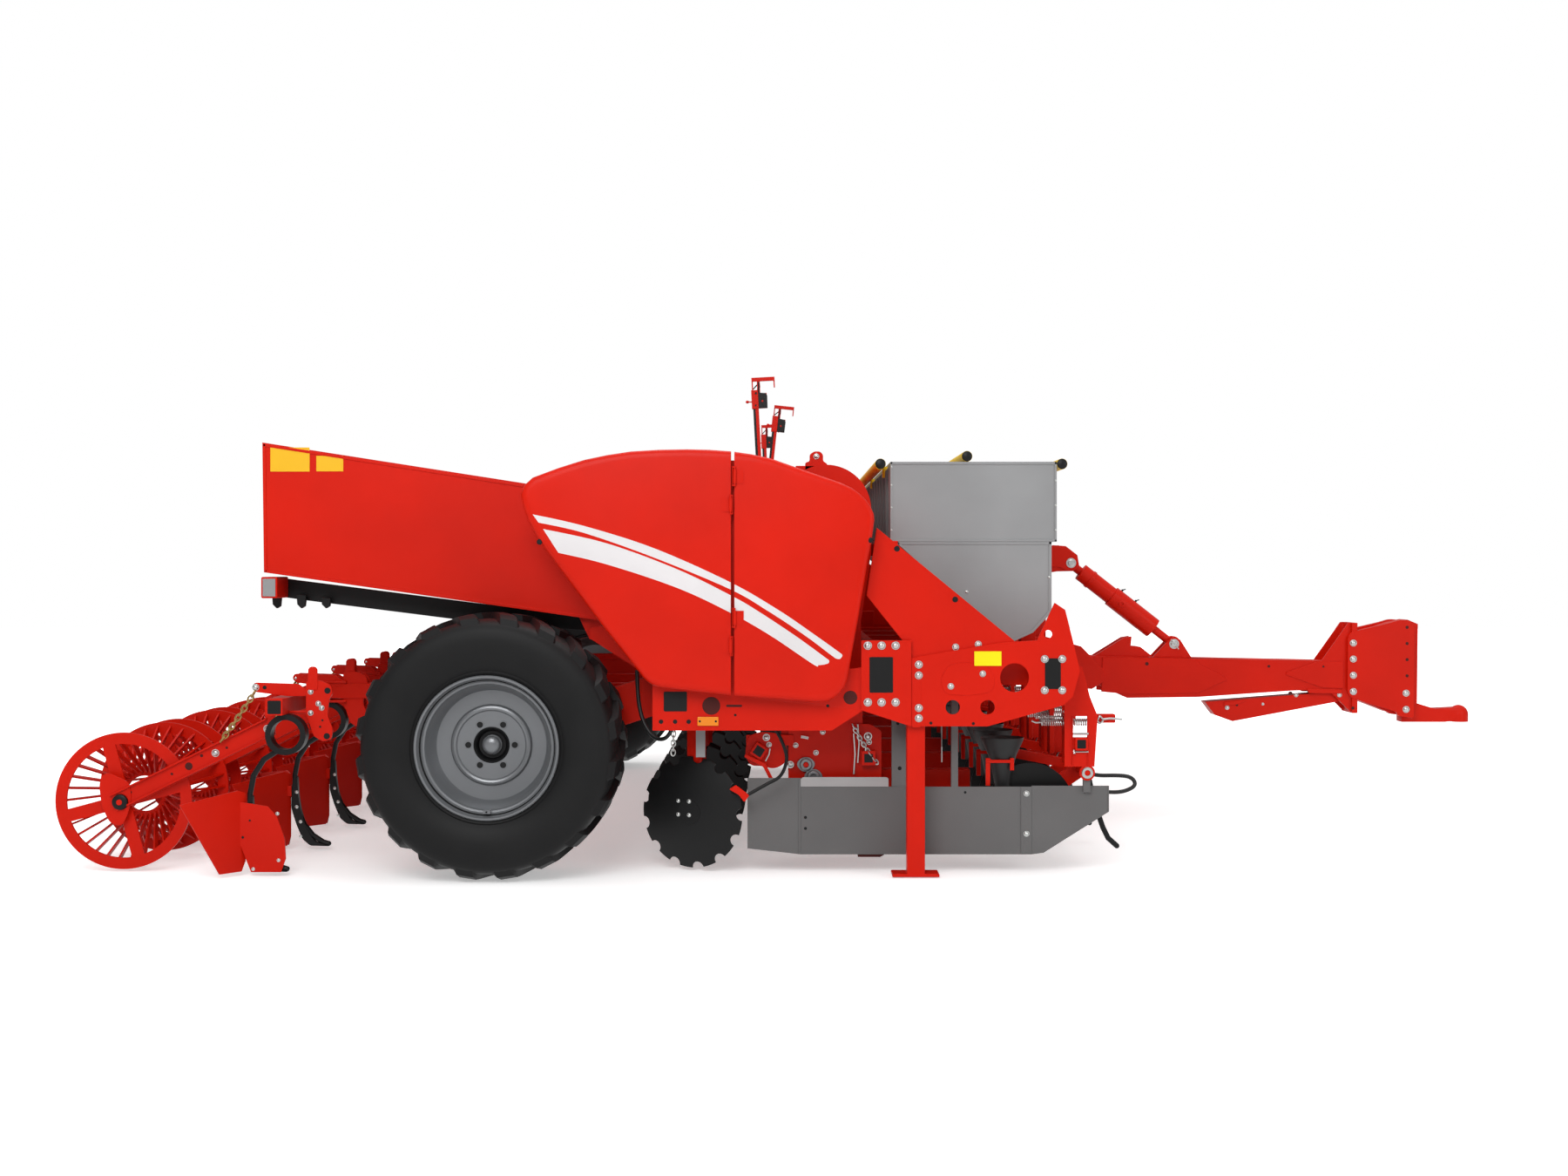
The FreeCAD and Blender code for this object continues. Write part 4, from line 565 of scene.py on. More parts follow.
# --- Cover doors --------------------------------------------------------------------------
# Each side has a two-leaf cover of moulded red plastic sheet, its rim rolled inwards all
# round. The leaves meet in a thin upright seam, and two white stripes of cut film sweep down
# across both, a narrow one above a broad one.
door_outer = -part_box("door_rear_right")[0][1] * 1000 - 15.5
door_split = 1040.0
cover = [(139, 1642), (153, 1683), (190, 1716), (300, 1757), (408, 1791), (508, 1812), (608, 1827),
         (726, 1834), (844, 1836), (940, 1834), (1038, 1827), (1120, 1815), (1203, 1797), (1350, 1745),
         (1498, 1694), (1545, 1672), (1577, 1649), (1606, 1621), (1627, 1590), (1639, 1563), (1642, 1535),
         (1632, 1460), (1616, 1376), (1600, 1275), (1577, 1139), (1552, 1000), (1528, 862), (1516, 828),
         (1498, 803), (1472, 779), (1439, 765), (1391, 763), (1038, 789), (860, 808), (726, 825), (700, 834),
         (678, 848), (661, 864), (648, 881), (570, 980), (490, 1080), (350, 1268), (213, 1453), (170, 1535),
         (153, 1583)]
# Steps of the rolled rim as (distance in from the outline, depth behind the face).
rolled_rim = ((34, 0.0), (20, 1.2), (10, 4.5), (3, 11), (0, 20), (0, 28), (6, 28), (6, 14), (16, 6))
# Each stripe by its upper and lower edge.
stripes = (([(192, 1559), (410, 1509.5), (706, 1415.5), (1028, 1272), (1233, 1154), (1380, 1054), (1488, 977),
             (1505, 962), (1500, 950)],
            [(217, 1524), (410, 1480), (706, 1376), (1028, 1242), (1182, 1154), (1340, 1050), (1462, 959),
             (1480, 947), (1494, 945)]),
           ([(236, 1497), (509, 1435), (805, 1326), (1028, 1217.5), (1139, 1154), (1300, 1048), (1430, 954),
             (1449, 938), (1446, 927)],
            [(301, 1396), (509, 1346), (805, 1247), (1028, 1143), (1200, 1045), (1381, 923.5), (1404, 919.5),
             (1430, 922)]))
# Cut vinyl film: a flat white, a little grey, with hardly any texture of its own.
white_film = enamel("white_cut_film", "#DFDCDD", 0.3, peel=0.01)


def smooth_line(points, steps=6):
    """Points on a smooth line through a few given ones."""
    out = []
    full = [points[0]] + points + [points[-1]]
    for p0, p1, p2, p3 in zip(full, full[1:], full[2:], full[3:]):
        for k in range(steps):
            t = k / steps
            out.append(tuple(0.5 * (2 * b + (c - a) * t + (2 * a - 5 * b + 4 * c - d) * t * t
                                    + (3 * b - a - 3 * c + d) * t ** 3)
                             for a, b, c, d in zip(p0, p1, p2, p3)))
    return out + [points[-1]]


def rod(bm, start, end, radius, sides=16):
    """Round bar between two points in millimetres."""
    a, b = spot(*start), spot(*end)
    turn = (b - a).to_track_quat("Z", "Y").to_matrix().to_4x4()
    bmesh.ops.create_cone(bm, cap_ends=True, segments=sides, radius1=radius / 1000, radius2=radius / 1000,
                          depth=(b - a).length, matrix=Matrix.Translation((a + b) / 2) @ turn)


def clipped(outline, limit, keep_low):
    """The part of an outline on one side of an upright line."""
    out = []
    for (x0, z0), (x1, z1) in zip(outline, outline[1:] + outline[:1]):
        inside = (x0 <= limit) == keep_low
        if inside:
            out.append((x0, z0))
        if ((x1 <= limit) == keep_low) != inside:
            out.append((limit, z0 + (z1 - z0) * (limit - x0) / (x1 - x0)))
    return out


def pulled_in(outline, distance):
    """An outline moved inwards by a distance, point by point."""
    area = sum(x0 * z1 - x1 * z0 for (x0, z0), (x1, z1) in zip(outline, outline[1:] + outline[:1]))
    hand = 1 if area > 0 else -1
    out = []
    for i, (x, z) in enumerate(outline):
        (xa, za), (xb, zb) = outline[i - 1], outline[(i + 1) % len(outline)]
        d0, d1 = Vector((x - xa, z - za)).normalized(), Vector((xb - x, zb - z)).normalized()
        n = (Vector((-d0.y, d0.x)) + Vector((-d1.y, d1.x))).normalized() * hand
        lean = max(0.5, n.dot(Vector((-d0.y, d0.x)) * hand))
        out.append((x + n.x * distance / lean, z + n.y * distance / lean))
    return out


def door_leaf(body, side, hand):
    """Shell of one leaf: flat face, rolled rim, inner lip, with its seam edge left straight."""
    limit = door_split + 7 * hand
    leaf = clipped(cover, limit, hand < 0)
    bm = bmesh.new()
    rings = []
    for inset, depth in rolled_rim:
        ring = []
        for x, z in pulled_in(leaf, inset):
            x = limit if inset > 0 and abs(x - limit) < inset * 1.5 + 1 or (x - limit) * hand < 0 else x
            ring.append(bm.verts.new(spot(x, side * (door_outer - depth), z)))
        rings.append(ring)
    skin(bm, rings)
    bmesh.ops.remove_doubles(bm, verts=bm.verts, dist=2e-4)
    piece(body + "_panel", bm, body, red, 0.0, (body,), 50)


def door_stripes(body, side, hand):
    """Both stripes of one leaf, cut off at its seam edge."""
    bm = bmesh.new()
    for top, low in stripes:
        outline = clipped(smooth_line(top, 8) + smooth_line(low, 8)[::-1], door_split + 8 * hand, hand < 0)
        prism(bm, outline, side * (door_outer - 0.3), side * (door_outer + 0.5))
    bmesh.ops.triangulate(bm, faces=[f for f in bm.faces if len(f.verts) > 4])
    piece(body + "_stripes", bm, body, white_film, angle=None)


def door_hinges(body, side, hand, heights):
    """Welded barrels on the seam edge, with their leaves riveted to the face."""
    bm = bmesh.new()
    x, y = door_split + hand * 9, side * (door_outer + 1.5)
    for z in heights:
        rod(bm, (x, side * (door_outer + 8), z - 30), (x, side * (door_outer + 8), z + 30), 7.4)
        prism(bm, square(min(x, x + hand * 38), max(x, x + hand * 38), z - 30, z + 30), y - 1.5, y + 1.5)
    piece(body + "_hinges", bm, body, red)


for side, name in SIDES:
    for end, hand, heights, latch in (("rear", -1, (1000, 1600), (220, 1442)),
                                      ("front", 1, (1120, 1720), (1623, 1450))):
        body = "door_%s_%s" % (end, name)
        door_leaf(body, side, hand)
        door_stripes(body, side, hand)
        door_hinges(body, side, hand, heights)
        made(body + "_latch", black, lathes=[([(0, 3), (9, 2.5), (12, 0), (12, -6), (0, -6)],
                                              (latch[0], side * (door_outer - 6), latch[1]), 16, side)],
             body=body, both=False)


# --- Seed hopper --------------------------------------------------------------------------
# A tipping hopper of folded red sheet across the whole machine. Its top edge is folded to a
# flat rim and two bare yellow plates sit at the rear of each side. Under the floor runs a frame
# drawn black as painted shade, and at the rear edge a square tube with grey plugs in its ends.
hopper_side = -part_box("hopper")[0][1] * 1000
# Lacquered aluminium plate: smooth and even, a warm yellow.
plate_yellow = enamel("yellow_plate_lacquer", "#F0B81C", 0.4, peel=0.01)


def edge_strip(x0, z0, x1, z1, low):
    """Outline 12 mm deep along a sloping edge, a distance below it."""
    lean = math.atan2(z1 - z0, x1 - x0)
    nx, nz = -math.sin(lean), math.cos(lean)
    return [(x - nx * down, z - 1 - nz * down) for x, z, down in
            ((x0 + 6, z0, low), (x1 - 6, z1, low), (x1 - 6, z1, low - 12), (x0 + 6, z0, low - 12))]


rounded_copy("hopper", 3.0, body="hopper")
made("hopper_rims", red, [(outline, -hopper_side - 4, -hopper_side) for outline in
                          (edge_strip(-1035, 1883, 121, 1703, 16), edge_strip(-1028, 1312, 454, 1102, 0),
                           [(-1034, 1880), (-1020, 1878), (-1014, 1312), (-1027, 1314)])],
     round_off=1.5, body="hopper")
made("hopper_bare_plates", plate_yellow, [(square(-999, -827, 1755, 1861), -hopper_side - 1.6, -hopper_side),
                                          (square(-797, -679, 1756, 1824), -hopper_side - 1.6, -hopper_side)],
     body="hopper")
# The underframe is black as painted shade: it stands for the dark band of shade under the hopper.
made("hopper_underframe", black,
     [([(-1040, 1290), (-940, 1276), (450, 1098), (430, 1046), (-60, 1080), (-880, 1184), (-1036, 1206)],
       -1960, -1900)]
     + [([(x - 22, 1215 - (x + 900) * 0.13), (x + 22, 1209 - (x + 900) * 0.13), (x + 16, 1160), (x, 1150),
          (x - 18, 1168)], -2010, -1985) for x in (-1010, -900, -790)], round_off=2, body="hopper")
made("hopper_edge_tube", red, [(square(-1042, -970, 1198, 1292), -2148, -1960)], round_off=6, body="hopper")
made("hopper_tube_plugs", grey, [(square(-1034, -978, 1206, 1284), -2150, -2147)], round_off=1, body="hopper")


# --- Fertiliser tank ----------------------------------------------------------------------
# A light grey sheet-steel tank over the front beam: an upright box with a flanged seam on a
# tapered lower part. Small bolts close the flanges and the corner joints.
tank_side = -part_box("fertiliser_tank")[0][1] * 1000
rounded_copy("fertiliser_tank", 3.0, grey)
flanges = [square(1731, 2471, 1448, 1458), square(1731, 2471, 1792, 1803), square(1731, 1741, 1448, 1803),
           square(2461, 2471, 1448, 1803), square(1753, 2448, 1436, 1447),
           [(2436, 1447), (2448, 1447), (2448, 1134), (2366, 1044), (2266, 998), (2262, 1006), (2358, 1052),
            (2436, 1140)], [(1753, 1447), (1766, 1447), (2270, 1004), (2264, 998)]]
made("tank_flanges", grey, [(flange, -tank_side - 4, -tank_side) for flange in flanges], round_off=1.2)
bolts("tank_bolts", 5, [(x, -tank_side - 4, z)
                        for x, heights in ((1736, (1500, 1600, 1700, 1780)), (2466, (1500, 1610, 1720)))
                        for z in heights])
bolts("tank_bracket_bolts", 8, [(x, -tank_side - 1, z) for x, z in ((2070, 1225), (2438, 1290))])
made("tank_lids", grey, [(square(x0, x1, 1796, 1800), y, y + 1340) for y in (-2030, -670, 690)
                         for x0, x1 in ((1745, 2100), (2104, 2457))], round_off=1.2, both=False)


# --- Guard tubes --------------------------------------------------------------------------
# Yellow powder-coated tubes round the tank's rim keep people back. Their ends are closed by
# black push-in plastic plugs.
tube_end = -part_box("guard_tubes")[0][1] * 1000
made("guard_tube_plugs", black, lathes=[([(0, 6), (16, 5), (23.5, 0), (23.5, -4), (0, -4)],
                                         (x, tube_end * hand, z), 20, hand)
                                        for x, z in ((1687, 1794), (2072, 1828), (2495, 1794))
                                        for hand in (1, -1)], both=False)


# --- Side frame fittings ------------------------------------------------------------------
# The side plates carry the cross tubes' ends, closed by black plastic caps, dome-headed
# bolts, an amber reflector on two screws, a bare yellow plate and a small cover plate.
def rounded(outline, radius, steps=4):
    """An outline with each corner turned to a short arc."""
    out = []
    for i, corner in enumerate(outline):
        a, b, c = Vector(outline[i - 1]), Vector(corner), Vector(outline[(i + 1) % len(outline)])
        cut = min(radius, (a - b).length * 0.45, (c - b).length * 0.45)
        p, q = b + (a - b).normalized() * cut, b + (c - b).normalized() * cut
        for k in range(steps + 1):
            t = k / steps
            out.append(tuple(p * (1 - t) ** 2 + b * 2 * t * (1 - t) + q * t * t))
    return out


def oblong(x0, x1, z0, z1, radius):
    """Outline of an upright rectangle with rounded corners."""
    return rounded(square(x0, x1, z0, z1), radius)


def cups(name, material, places, body="frame", both=True, sides=20):
    """Round openings of (x, y, z, radius) in millimetres in faces square to the side: thin dark discs,
    painted shade for each hole's inside.
    """
    made(name, material, lathes=[([(0, -0.7), (r * 0.8, -0.7), (r, -0.9), (r + 0.8, -0.2), (r, 0.4),
                                   (0, 0.4)], (x, y, z), sides) for x, y, z, r in places],
         body=body, both=both)


# Painted shade: the dark that holes, slots and shaded runners show, drawn as a red so deep that it is near
# black.
shade_red = enamel("painted_shade_red_enamel", "#4A0E08", 0.6)
plate_y = -2350.0
plate_inner = plate_y + 0.2
bolts("joint_plate_bolts", 18, [(x, plate_y - 11, z) for x in (1617, 1676, 1736) for z in (756, 999)])
bolts("front_plate_bolts", 17, [(1836, plate_y - 1, z) for z in (687, 731, 871, 917)]
      + [(x, plate_y - 1, z) for x in (2376, 2451) for z in (807, 941)])
bolts("small_plate_bolts", 14, [(1973, plate_y - 4, 824), (2110, plate_y - 4, 878)])
bolts("sheet_bolts", 15, [(1995, -2341, 992), (2092, -2341, 1004)])
made("cross_tube_caps", black, [(oblong(742, 842, 716, 801, 6), -2351.6, -2349.5),
                                (oblong(1624, 1725, 797, 950, 6), -2361.6, -2359.5),
                                (oblong(2377, 2445, 812, 944, 16), -2351.6, -2349.5)], round_off=0.8)
made("side_cover_plates", red,
     [(rounded([(1948, 790), (2060, 784), (2150, 800), (2165, 850), (2140, 905), (2040, 930), (1960, 915),
                (1928, 850)], 60, 6), plate_y - 3, plate_inner),
      (oblong(1806, 1845, 648, 945, 10), plate_y - 1.5, plate_inner)], round_off=1.0)
# Moulded acrylic: glossy, its small prisms drawn as a strong bump.
amber = enamel("amber_reflector_acrylic", "#F08A0A", 0.2, peel=0.3, ior=1.49)
made("side_reflectors", amber, [(oblong(887, 977, 655, 693, 4), plate_y - 7, plate_inner)], round_off=1.5)
# The same lacquer as the hopper's plates, in a greener yellow.
plate_lemon = enamel("lemon_plate_lacquer", "#F2E206", 0.4, peel=0.01)
made("side_bare_plates", plate_lemon, [(oblong(2074, 2190, 912, 974, 2), plate_y - 4.5, plate_inner)])
cups("frame_holes", shade_red, [(946, plate_y, 740, 38), (1542.7, plate_y, 775.6, 29)])
cups("punched_holes", black,
     [(x, plate_y, z, r) for x, z, r in
      ((730.5, 672, 9), (791, 672, 9), (849, 672, 9), (1049, 700.6, 5), (834, 741, 2), (1445.6, 740, 6),
       (1888, 666, 6), (2070, 664, 6))]
     + [(897, plate_y - 7, 674, 4), (966, plate_y - 7, 674, 4), (1743, -2340, 1414, 12),
        (1993, -2340, 1196, 12)], sides=14)
# Slots drawn as thin near-black strips: painted shade for their insides.
made("frame_slots", shade_red, [(square(1514, 1571, 775, 777.5), plate_y - 1.6, plate_y - 0.4),
                                (oblong(1010, 1078, 735, 745, 5), plate_y - 0.7, plate_y + 0.1)])


# --- Ground skirts ------------------------------------------------------------------------
# Flat guards of grey enamelled sheet beside the furrow openers, drawn dark as painted shade.
# The top edge is folded out over the rear half, and a strap with two bolts joins the swept-up front sheet.
skirt_y = -2175.0
# Painted shade: the tank's light grey darkened, for the shadow under the machine.
dark_grey = enamel("grey_enamel_in_painted_shade", "#646363", 0.46)
# The folded lips face upwards and are drawn in a paler grey of the same gloss: painted light where the lamps
# from above fall on them.
pale_grey = enamel("grey_enamel_in_painted_light", "#A3A1A1", 0.42)
rounded_copy("skirts", 1.5, dark_grey)
made("skirt_lips", pale_grey, [([(1331, 373), (1716, 373), (1716, 408), (1706, 415), (1341, 415),
                                 (1331, 405)], skirt_y - 3.5, skirt_y)], round_off=1.2)
made("skirt_straps", dark_grey, [(square(2296, 2342, 80, 373), skirt_y - 4, skirt_y),
                                 (square(1322, 1331, 78, 411), skirt_y - 3, skirt_y),
                                 (square(2676, 2682, 266, 377), skirt_y - 2, skirt_y)], round_off=1.5)
bolts("skirt_bolts", 13, [(2320, skirt_y - 4, 343), (2320, skirt_y - 4, 167)])
cups("skirt_holes", black, [(1352, skirt_y, 238, 6), (1352, skirt_y, 190, 6), (2052, skirt_y, 348, 5)],
     sides=12)
# Runners in the near-black red: painted shade, as they lie in shadow under the openers.
made("opener_runners", shade_red, [([(1582, 62), (1680, 62), (1698, 72), (1698, 80), (1582, 80)],
                                    -2160, -2120)], round_off=2)
made("guard_posts", grey, [(square(873, 914, 504, 700), -2200, -2193)], round_off=1.5)
cups("post_holes", black, [(1765, -2170.4, 453, 8), (1757, -2170.4, 650, 6)], sides=12)


# --- Tank's rear ribs ---------------------------------------------------------------------
# The tank's rear wall is stiffened by upright ribs of folded plate with sloped ends. They
# stand between the belt hoods and the tank and lie mostly in shade, so their grey is drawn darker: painted
# shade.
made("tank_rear_ribs", dark_grey, [([(1717, 1478), (1732, 1464), (1732, 1786), (1717, 1772)], y - 15, y + 15)
                                   for y in range(-1875, 2125, 250)], round_off=1.5, both=False)


# --- Covering discs -----------------------------------------------------------------------
# Notched, dished discs of black-painted hardened steel. Four bolts hold each to its hub, a
# red scraper with a black rod keeps it clean, and a short chain hangs behind it.
row_ys = [(i - 2.5) * 750.0 for i in range(6)]
row_sides = [(row_y, side) for row_y in row_ys for side in (-1, 1)]
disc_yaw = math.radians(25)


def disc_spot(x, y, z, row_y, side):
    """A point in a disc's own frame, its outer face towards -y, put in its place."""
    across = (y * math.cos(disc_yaw) - x * math.sin(disc_yaw)) * -side
    return (853 + x * math.cos(disc_yaw) + y * math.sin(disc_yaw), row_y + side * 250 + across, 256 + z)


for row, row_y in enumerate(row_ys, 1):
    for side, name in SIDES:
        body = "disc_%d_%s" % (row, name)
        nodes[body].data.materials[0] = black
        way = (-math.sin(disc_yaw), side * math.cos(disc_yaw), 0)
        heads(body + "_bolts", 9.5, [(disc_spot(dx - 25, -32.6, dz + 20, row_y, side), way)
                                     for dx in (-27, 27) for dz in (-30, 30)], body)
made("scraper_stays", black, bars=[(smooth_line([(1204, -2262, 662), (1244, -2262, 590), (1268, -2262, 520),
                                                 (1262, -2262, 468), (1236, -2262, 424), (1180, -2262, 392),
                                                 (1096, -2262, 345)]), 7.5)])
made("disc_scrapers", red, [(rounded([(1020, 372), (1049, 391), (1108, 346), (1086, 316), (1062, 348)], 7),
                             -2270, -2254), (square(1190, 1218, 644, 672), -2340, -2254)], round_off=1.5)


def link_tree(name, metal):
    """Group that puts an oval wire link on each point, every second one turned a quarter."""
    nt, given = group(name, {"Length": 0.03, "Wire": 0.004})
    oval = add(nt, "GeometryNodeCurvePrimitiveCircle", inputs={"Resolution": 16, "Radius": 0.5})
    half = add(nt, "ShaderNodeMath", {"operation": "MULTIPLY"}, {1: 0.62}, {0: given.outputs["Length"]})
    size = add(nt, "ShaderNodeCombineXYZ", inputs={2: 1.0},
               links={0: given.outputs["Length"], 1: half.outputs[0]})
    shaped = add(nt, "GeometryNodeTransform", links={"Geometry": oval.outputs[0], "Scale": size.outputs[0]})
    wire = add(nt, "GeometryNodeCurvePrimitiveCircle", inputs={"Resolution": 7},
               links={"Radius": given.outputs["Wire"]})
    link = add(nt, "GeometryNodeCurveToMesh",
               links={"Curve": shaped.outputs[0], "Profile Curve": wire.outputs[0]})
    index = add(nt, "GeometryNodeInputIndex")
    quarter = add(nt, "ShaderNodeMath", {"operation": "MULTIPLY"}, {1: math.pi / 2}, {0: index.outputs[0]})
    twist = add(nt, "FunctionNodeRotateEuler", {"rotation_type": "AXIS_ANGLE", "space": "LOCAL"},
                {"Axis": (1, 0, 0)},
                {"Rotation": facing_turn(nt, "X").outputs[0], "Angle": quarter.outputs[0]})
    return copied(nt, given, link, twist, metal)


# Zinc with a yellow passivation: bright links with a brassy tint.
passivated = plated("yellow_passivated_steel", "#B79A63", 0.34)
zinc_links = link_tree("zinc_chain_links", zinc)
brass_links = link_tree("brass_chain_links", passivated)


def chain(name, start, end, sag, length, wire, links):
    """Chain of round-wire links between two points in millimetres, sagging between them."""
    a, b = spot(*start), spot(*end)
    span = (b - a).length
    pitch = (length - 2.6 * wire) / 1000
    count = max(2, round(span * (1 + 2.6 * (sag / 1000 / span) ** 2) / pitch))
    line = [a.lerp(b, i / count) - Vector((0, 0, sag / 250 * (i / count) * (1 - i / count)))
            for i in range(count + 1)]
    steps = list(zip(line, line[1:]))
    grown(name, [(p + q) / 2 for p, q in steps], [(q - p).normalized() for p, q in steps],
          links, {"Length": length / 1000, "Wire": wire / 1000})


for side, name in SIDES:
    chain("disc_chain_" + name, (779, 2246 * side, 640), (776, 2246 * side, 520), 0, 30, 3.2, zinc_links)


# --- Planting units -----------------------------------------------------------------------
# The red side plates below each cup belt carry the drive: a square tube in a round clamp,
# flanged bearings of grey cast iron and plated bolts. A chain tensioner sits in front.
unit_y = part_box("planting_units")[0][1] * 1000
# Grey cast iron, bare: a duller and darker metal than the plated bolts.
cast_iron = plated("grey_cast_iron", "#8F9092", 0.5)


def drive_tube(half):
    """Corners of the square drive tube, turned in its clamp."""
    c, s = math.cos(math.radians(-33)) * half, math.sin(math.radians(-33)) * half
    return [(1147 + dx * c - dz * s, 523 + dx * s + dz * c) for dx, dz in square(-1, 1, -1, 1)]


made("drive_clamps", red,
     [(rounded([(1085, 500), (1095, 585), (1150, 606), (1235, 600), (1272, 545), (1270, 470), (1215, 440),
                (1160, 455), (1110, 455)], 40, 6), unit_y - 16, unit_y - 4),
      (drive_tube(30), unit_y - 46, unit_y - 4),
      ([(1087, 512), (1176, 470), (1222, 380), (1206, 376), (1166, 455), (1083, 498)],
       unit_y - 62, unit_y - 50),
      (square(1600, 1662, 460, 524), unit_y - 46, unit_y + 2),
      (rounded([(1560, 390), (1690, 390), (1690, 610), (1640, 640), (1560, 640)], 14), unit_y - 8, unit_y),
      (square(1090, 1300, 545, 592), unit_y - 12, unit_y - 2)], round_off=2)
# The open tube ends are black insets: painted shade for their hollow insides.
made("drive_tube_hollows", black, [(drive_tube(20), unit_y - 46.8, unit_y - 45),
                                   (square(1612, 1650, 473, 511), unit_y - 46.8, unit_y - 45)])
bearing_spots = ((1355, 461), (1388, 408))
made("flanged_bearings", cast_iron,
     [(rounded([(x - 45, z + 2), (x - 20, z + 32), (x + 20, z + 32), (x + 45, z + 2), (x + 20, z - 32),
                (x - 20, z - 32)], 18, 5), unit_y - 16, unit_y) for x, z in bearing_spots],
     [([(13, -28), (22, -28), (27, -24), (29, -16), (29, 0), (13, 0), (13, -28)], (x, unit_y, z), 28)
      for x, z in bearing_spots], round_off=1.5)
made("bearing_shaft_ends", red, lathes=[([(0, -30), (9, -30), (11.5, -28), (11.5, -2), (0, -2)],
                                         (1355, unit_y, 461), 20)])
bolts("unit_bolts", 12, [(x, unit_y - 1, z) for x, z in ((1277, 560), (1310, 545), (1400, 512), (1430, 604))]
      + [(1192, unit_y - 17, 549), (1635, unit_y - 9, 560)])
bolts("unit_large_bolts", 16, [(1286, unit_y - 17, 461), (1180, unit_y - 17, 581)])
bolts("side_plate_bolts", 18, [(1630, unit_y - 9, 585)])
made("unit_pins", zinc, bars=[
    ([(1333, unit_y - 22, 584), (1349, unit_y - 22, 582), (1366, unit_y - 22, 578)], 6),
    ([(1176, unit_y - 50, 480), (1192, unit_y - 50, 510), (1196, unit_y - 50, 535)], 3.5),
    ([(1566, unit_y - 26, 420), (1572, unit_y - 26, 510), (1566, unit_y - 26, 600)], 3.6),
    ([(1584, unit_y - 26, 470), (1590, unit_y - 26, 555), (1584, unit_y - 26, 640)], 3.6)])
for side, name in SIDES:
    chain("tensioner_chain_" + name, (1560, (40 - unit_y) * side, 640), (1668, (40 - unit_y) * side, 470),
          10, 26, 3.4, zinc_links)


# --- Rear frame ---------------------------------------------------------------------------
# A square red toolbar behind the wheels carries the tines, hillers and rollers. Each roller
# hangs on bolted plates with a comb of height holes, and brass-coloured chains limit its drop.
bar_end = -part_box("rear_frame")[0][1] * 1000
made("toolbar_end_caps", black, [(oblong(-963, -905, 703, 761, 5), -bar_end - 1.6, -bar_end + 0.5)],
     round_off=0.8)
back_plate = rounded([(-824, 840), (-824, 700), (-792, 600), (-752, 575), (-712, 585), (-706, 630),
                      (-730, 690), (-722, 760), (-706, 786), (-716, 822), (-760, 842)], 14, 3)
top_lug = rounded([(-814, 800), (-814, 892), (-803, 902), (-782, 902), (-772, 892), (-772, 800)], 12, 3)
chain_arm = rounded([(-1062, 812), (-1052, 832), (-860, 826), (-822, 800), (-826, 772), (-905, 772),
                     (-1046, 790)], 10, 3)
brackets = bmesh.new()
nuts, pins = [], []
for row_y, side in row_sides:
    # The outermost brackets stand a little further in, so that the toolbar still holds them.
    y = row_y + side * (352 if abs(row_y + side * 352) <= bar_end - 2 else 330)
    for outline, y0, y1 in ((back_plate, 0, 10), (top_lug, -4, 0), (chain_arm, 10, 20)):
        prism(brackets, outline, y - side * y0, y - side * y1)
    for z in (702, 792):
        rod(brackets, (-900, y - side * 22, z), (-806, y - side * 22, z), 7, 10)
    nuts += [((x, y, z), (0, side, 0)) for x, z in ((-803, 792), (-803, 700), (-770, 741), (-755, 722))]
    pins.append(((-1046, y - side * 11, 811), (0, side, 0)))
piece("roller_brackets", brackets, "frame", red, 1.5)
heads("bracket_nuts", 12, nuts)
heads("bracket_pins", 16, pins)
cups("bracket_holes", black, [(-730, -2227.2, 797, 13), (-733, -2227.2, 599, 13), (-752, -2227.2, 668, 4),
                              (-762, -2227.2, 640, 4), (-1006, -2217, 810, 8)]
     + [(-793, -2227.2, z, 4) for z in (826, 844, 862, 880)], sides=14)
for row, row_y in enumerate(row_ys, 1):
    for side, name in SIDES:
        y = row_y + side * 341
        chain("drop_chain_%d_%s" % (row, name), (-1048, y, 794), (-1196, y, 576), 6, 34, 4.2, brass_links)


# --- Roller arms --------------------------------------------------------------------------
# Each cage roller turns between two arms of pressed channel with folded edges. A flanged
# bearing, dark with a red shaft end, sits in a rounded plate at the arm's tail.
arm_lean = math.atan2(640 - 304, 1674 - 989)
arm_tail = rounded([(-1737, 380), (-1728, 420), (-1700, 437), (-1660, 420), (-1605, 395), (-1596, 330),
                    (-1612, 250), (-1640, 200), (-1690, 215), (-1726, 290)], 24, 4)


def folded_edge(edge):
    """Strip along one edge of the arm, 7 mm deep."""
    return [(x - math.sin(arm_lean) * out * edge, z + math.cos(arm_lean) * out * edge)
            for x, z, out in ((-1674, 304, 38), (-989, 640, 38), (-989, 640, 31), (-1674, 304, 31))]


def on_arms(profile, steps):
    """The same lathed part at the tail of every arm."""
    return [(profile, (-1644, row_y + side * 318, 308), steps, side) for row_y, side in row_sides]


made("roller_arm_plates", red,
     [(folded_edge(edge), row_y + side * 313, row_y + side * 329)
      for row_y, side in row_sides for edge in (1, -1)]
     + [(arm_tail, row_y + side * 312.5, row_y + side * 318) for row_y, side in row_sides],
     round_off=1.5, both=False)
made("roller_bearings", black, lathes=on_arms([(13, 16), (25, 16), (33, 12), (35, 0), (13, 0), (13, 16)], 28),
     both=False)
made("roller_shaft_ends", red, lathes=on_arms([(0, 18), (11, 18), (13, 16), (13, 0), (0, 0)], 18), both=False)
heads("roller_arm_nuts", 17, [((x, row_y + side * 314, z), (0, side, 0)) for row_y, side in row_sides
                              for x, z in ((-1229, 522), (-1002, 628))])
cups("roller_arm_holes", shade_red, [(x, -2188.5, z, r) for x, z, r in
                                     ((-1346, 464, 16), (-1600, 350, 5), (-1420, 430, 5), (-1290, 510, 6),
                                      (-1180, 545, 5))], sides=16)


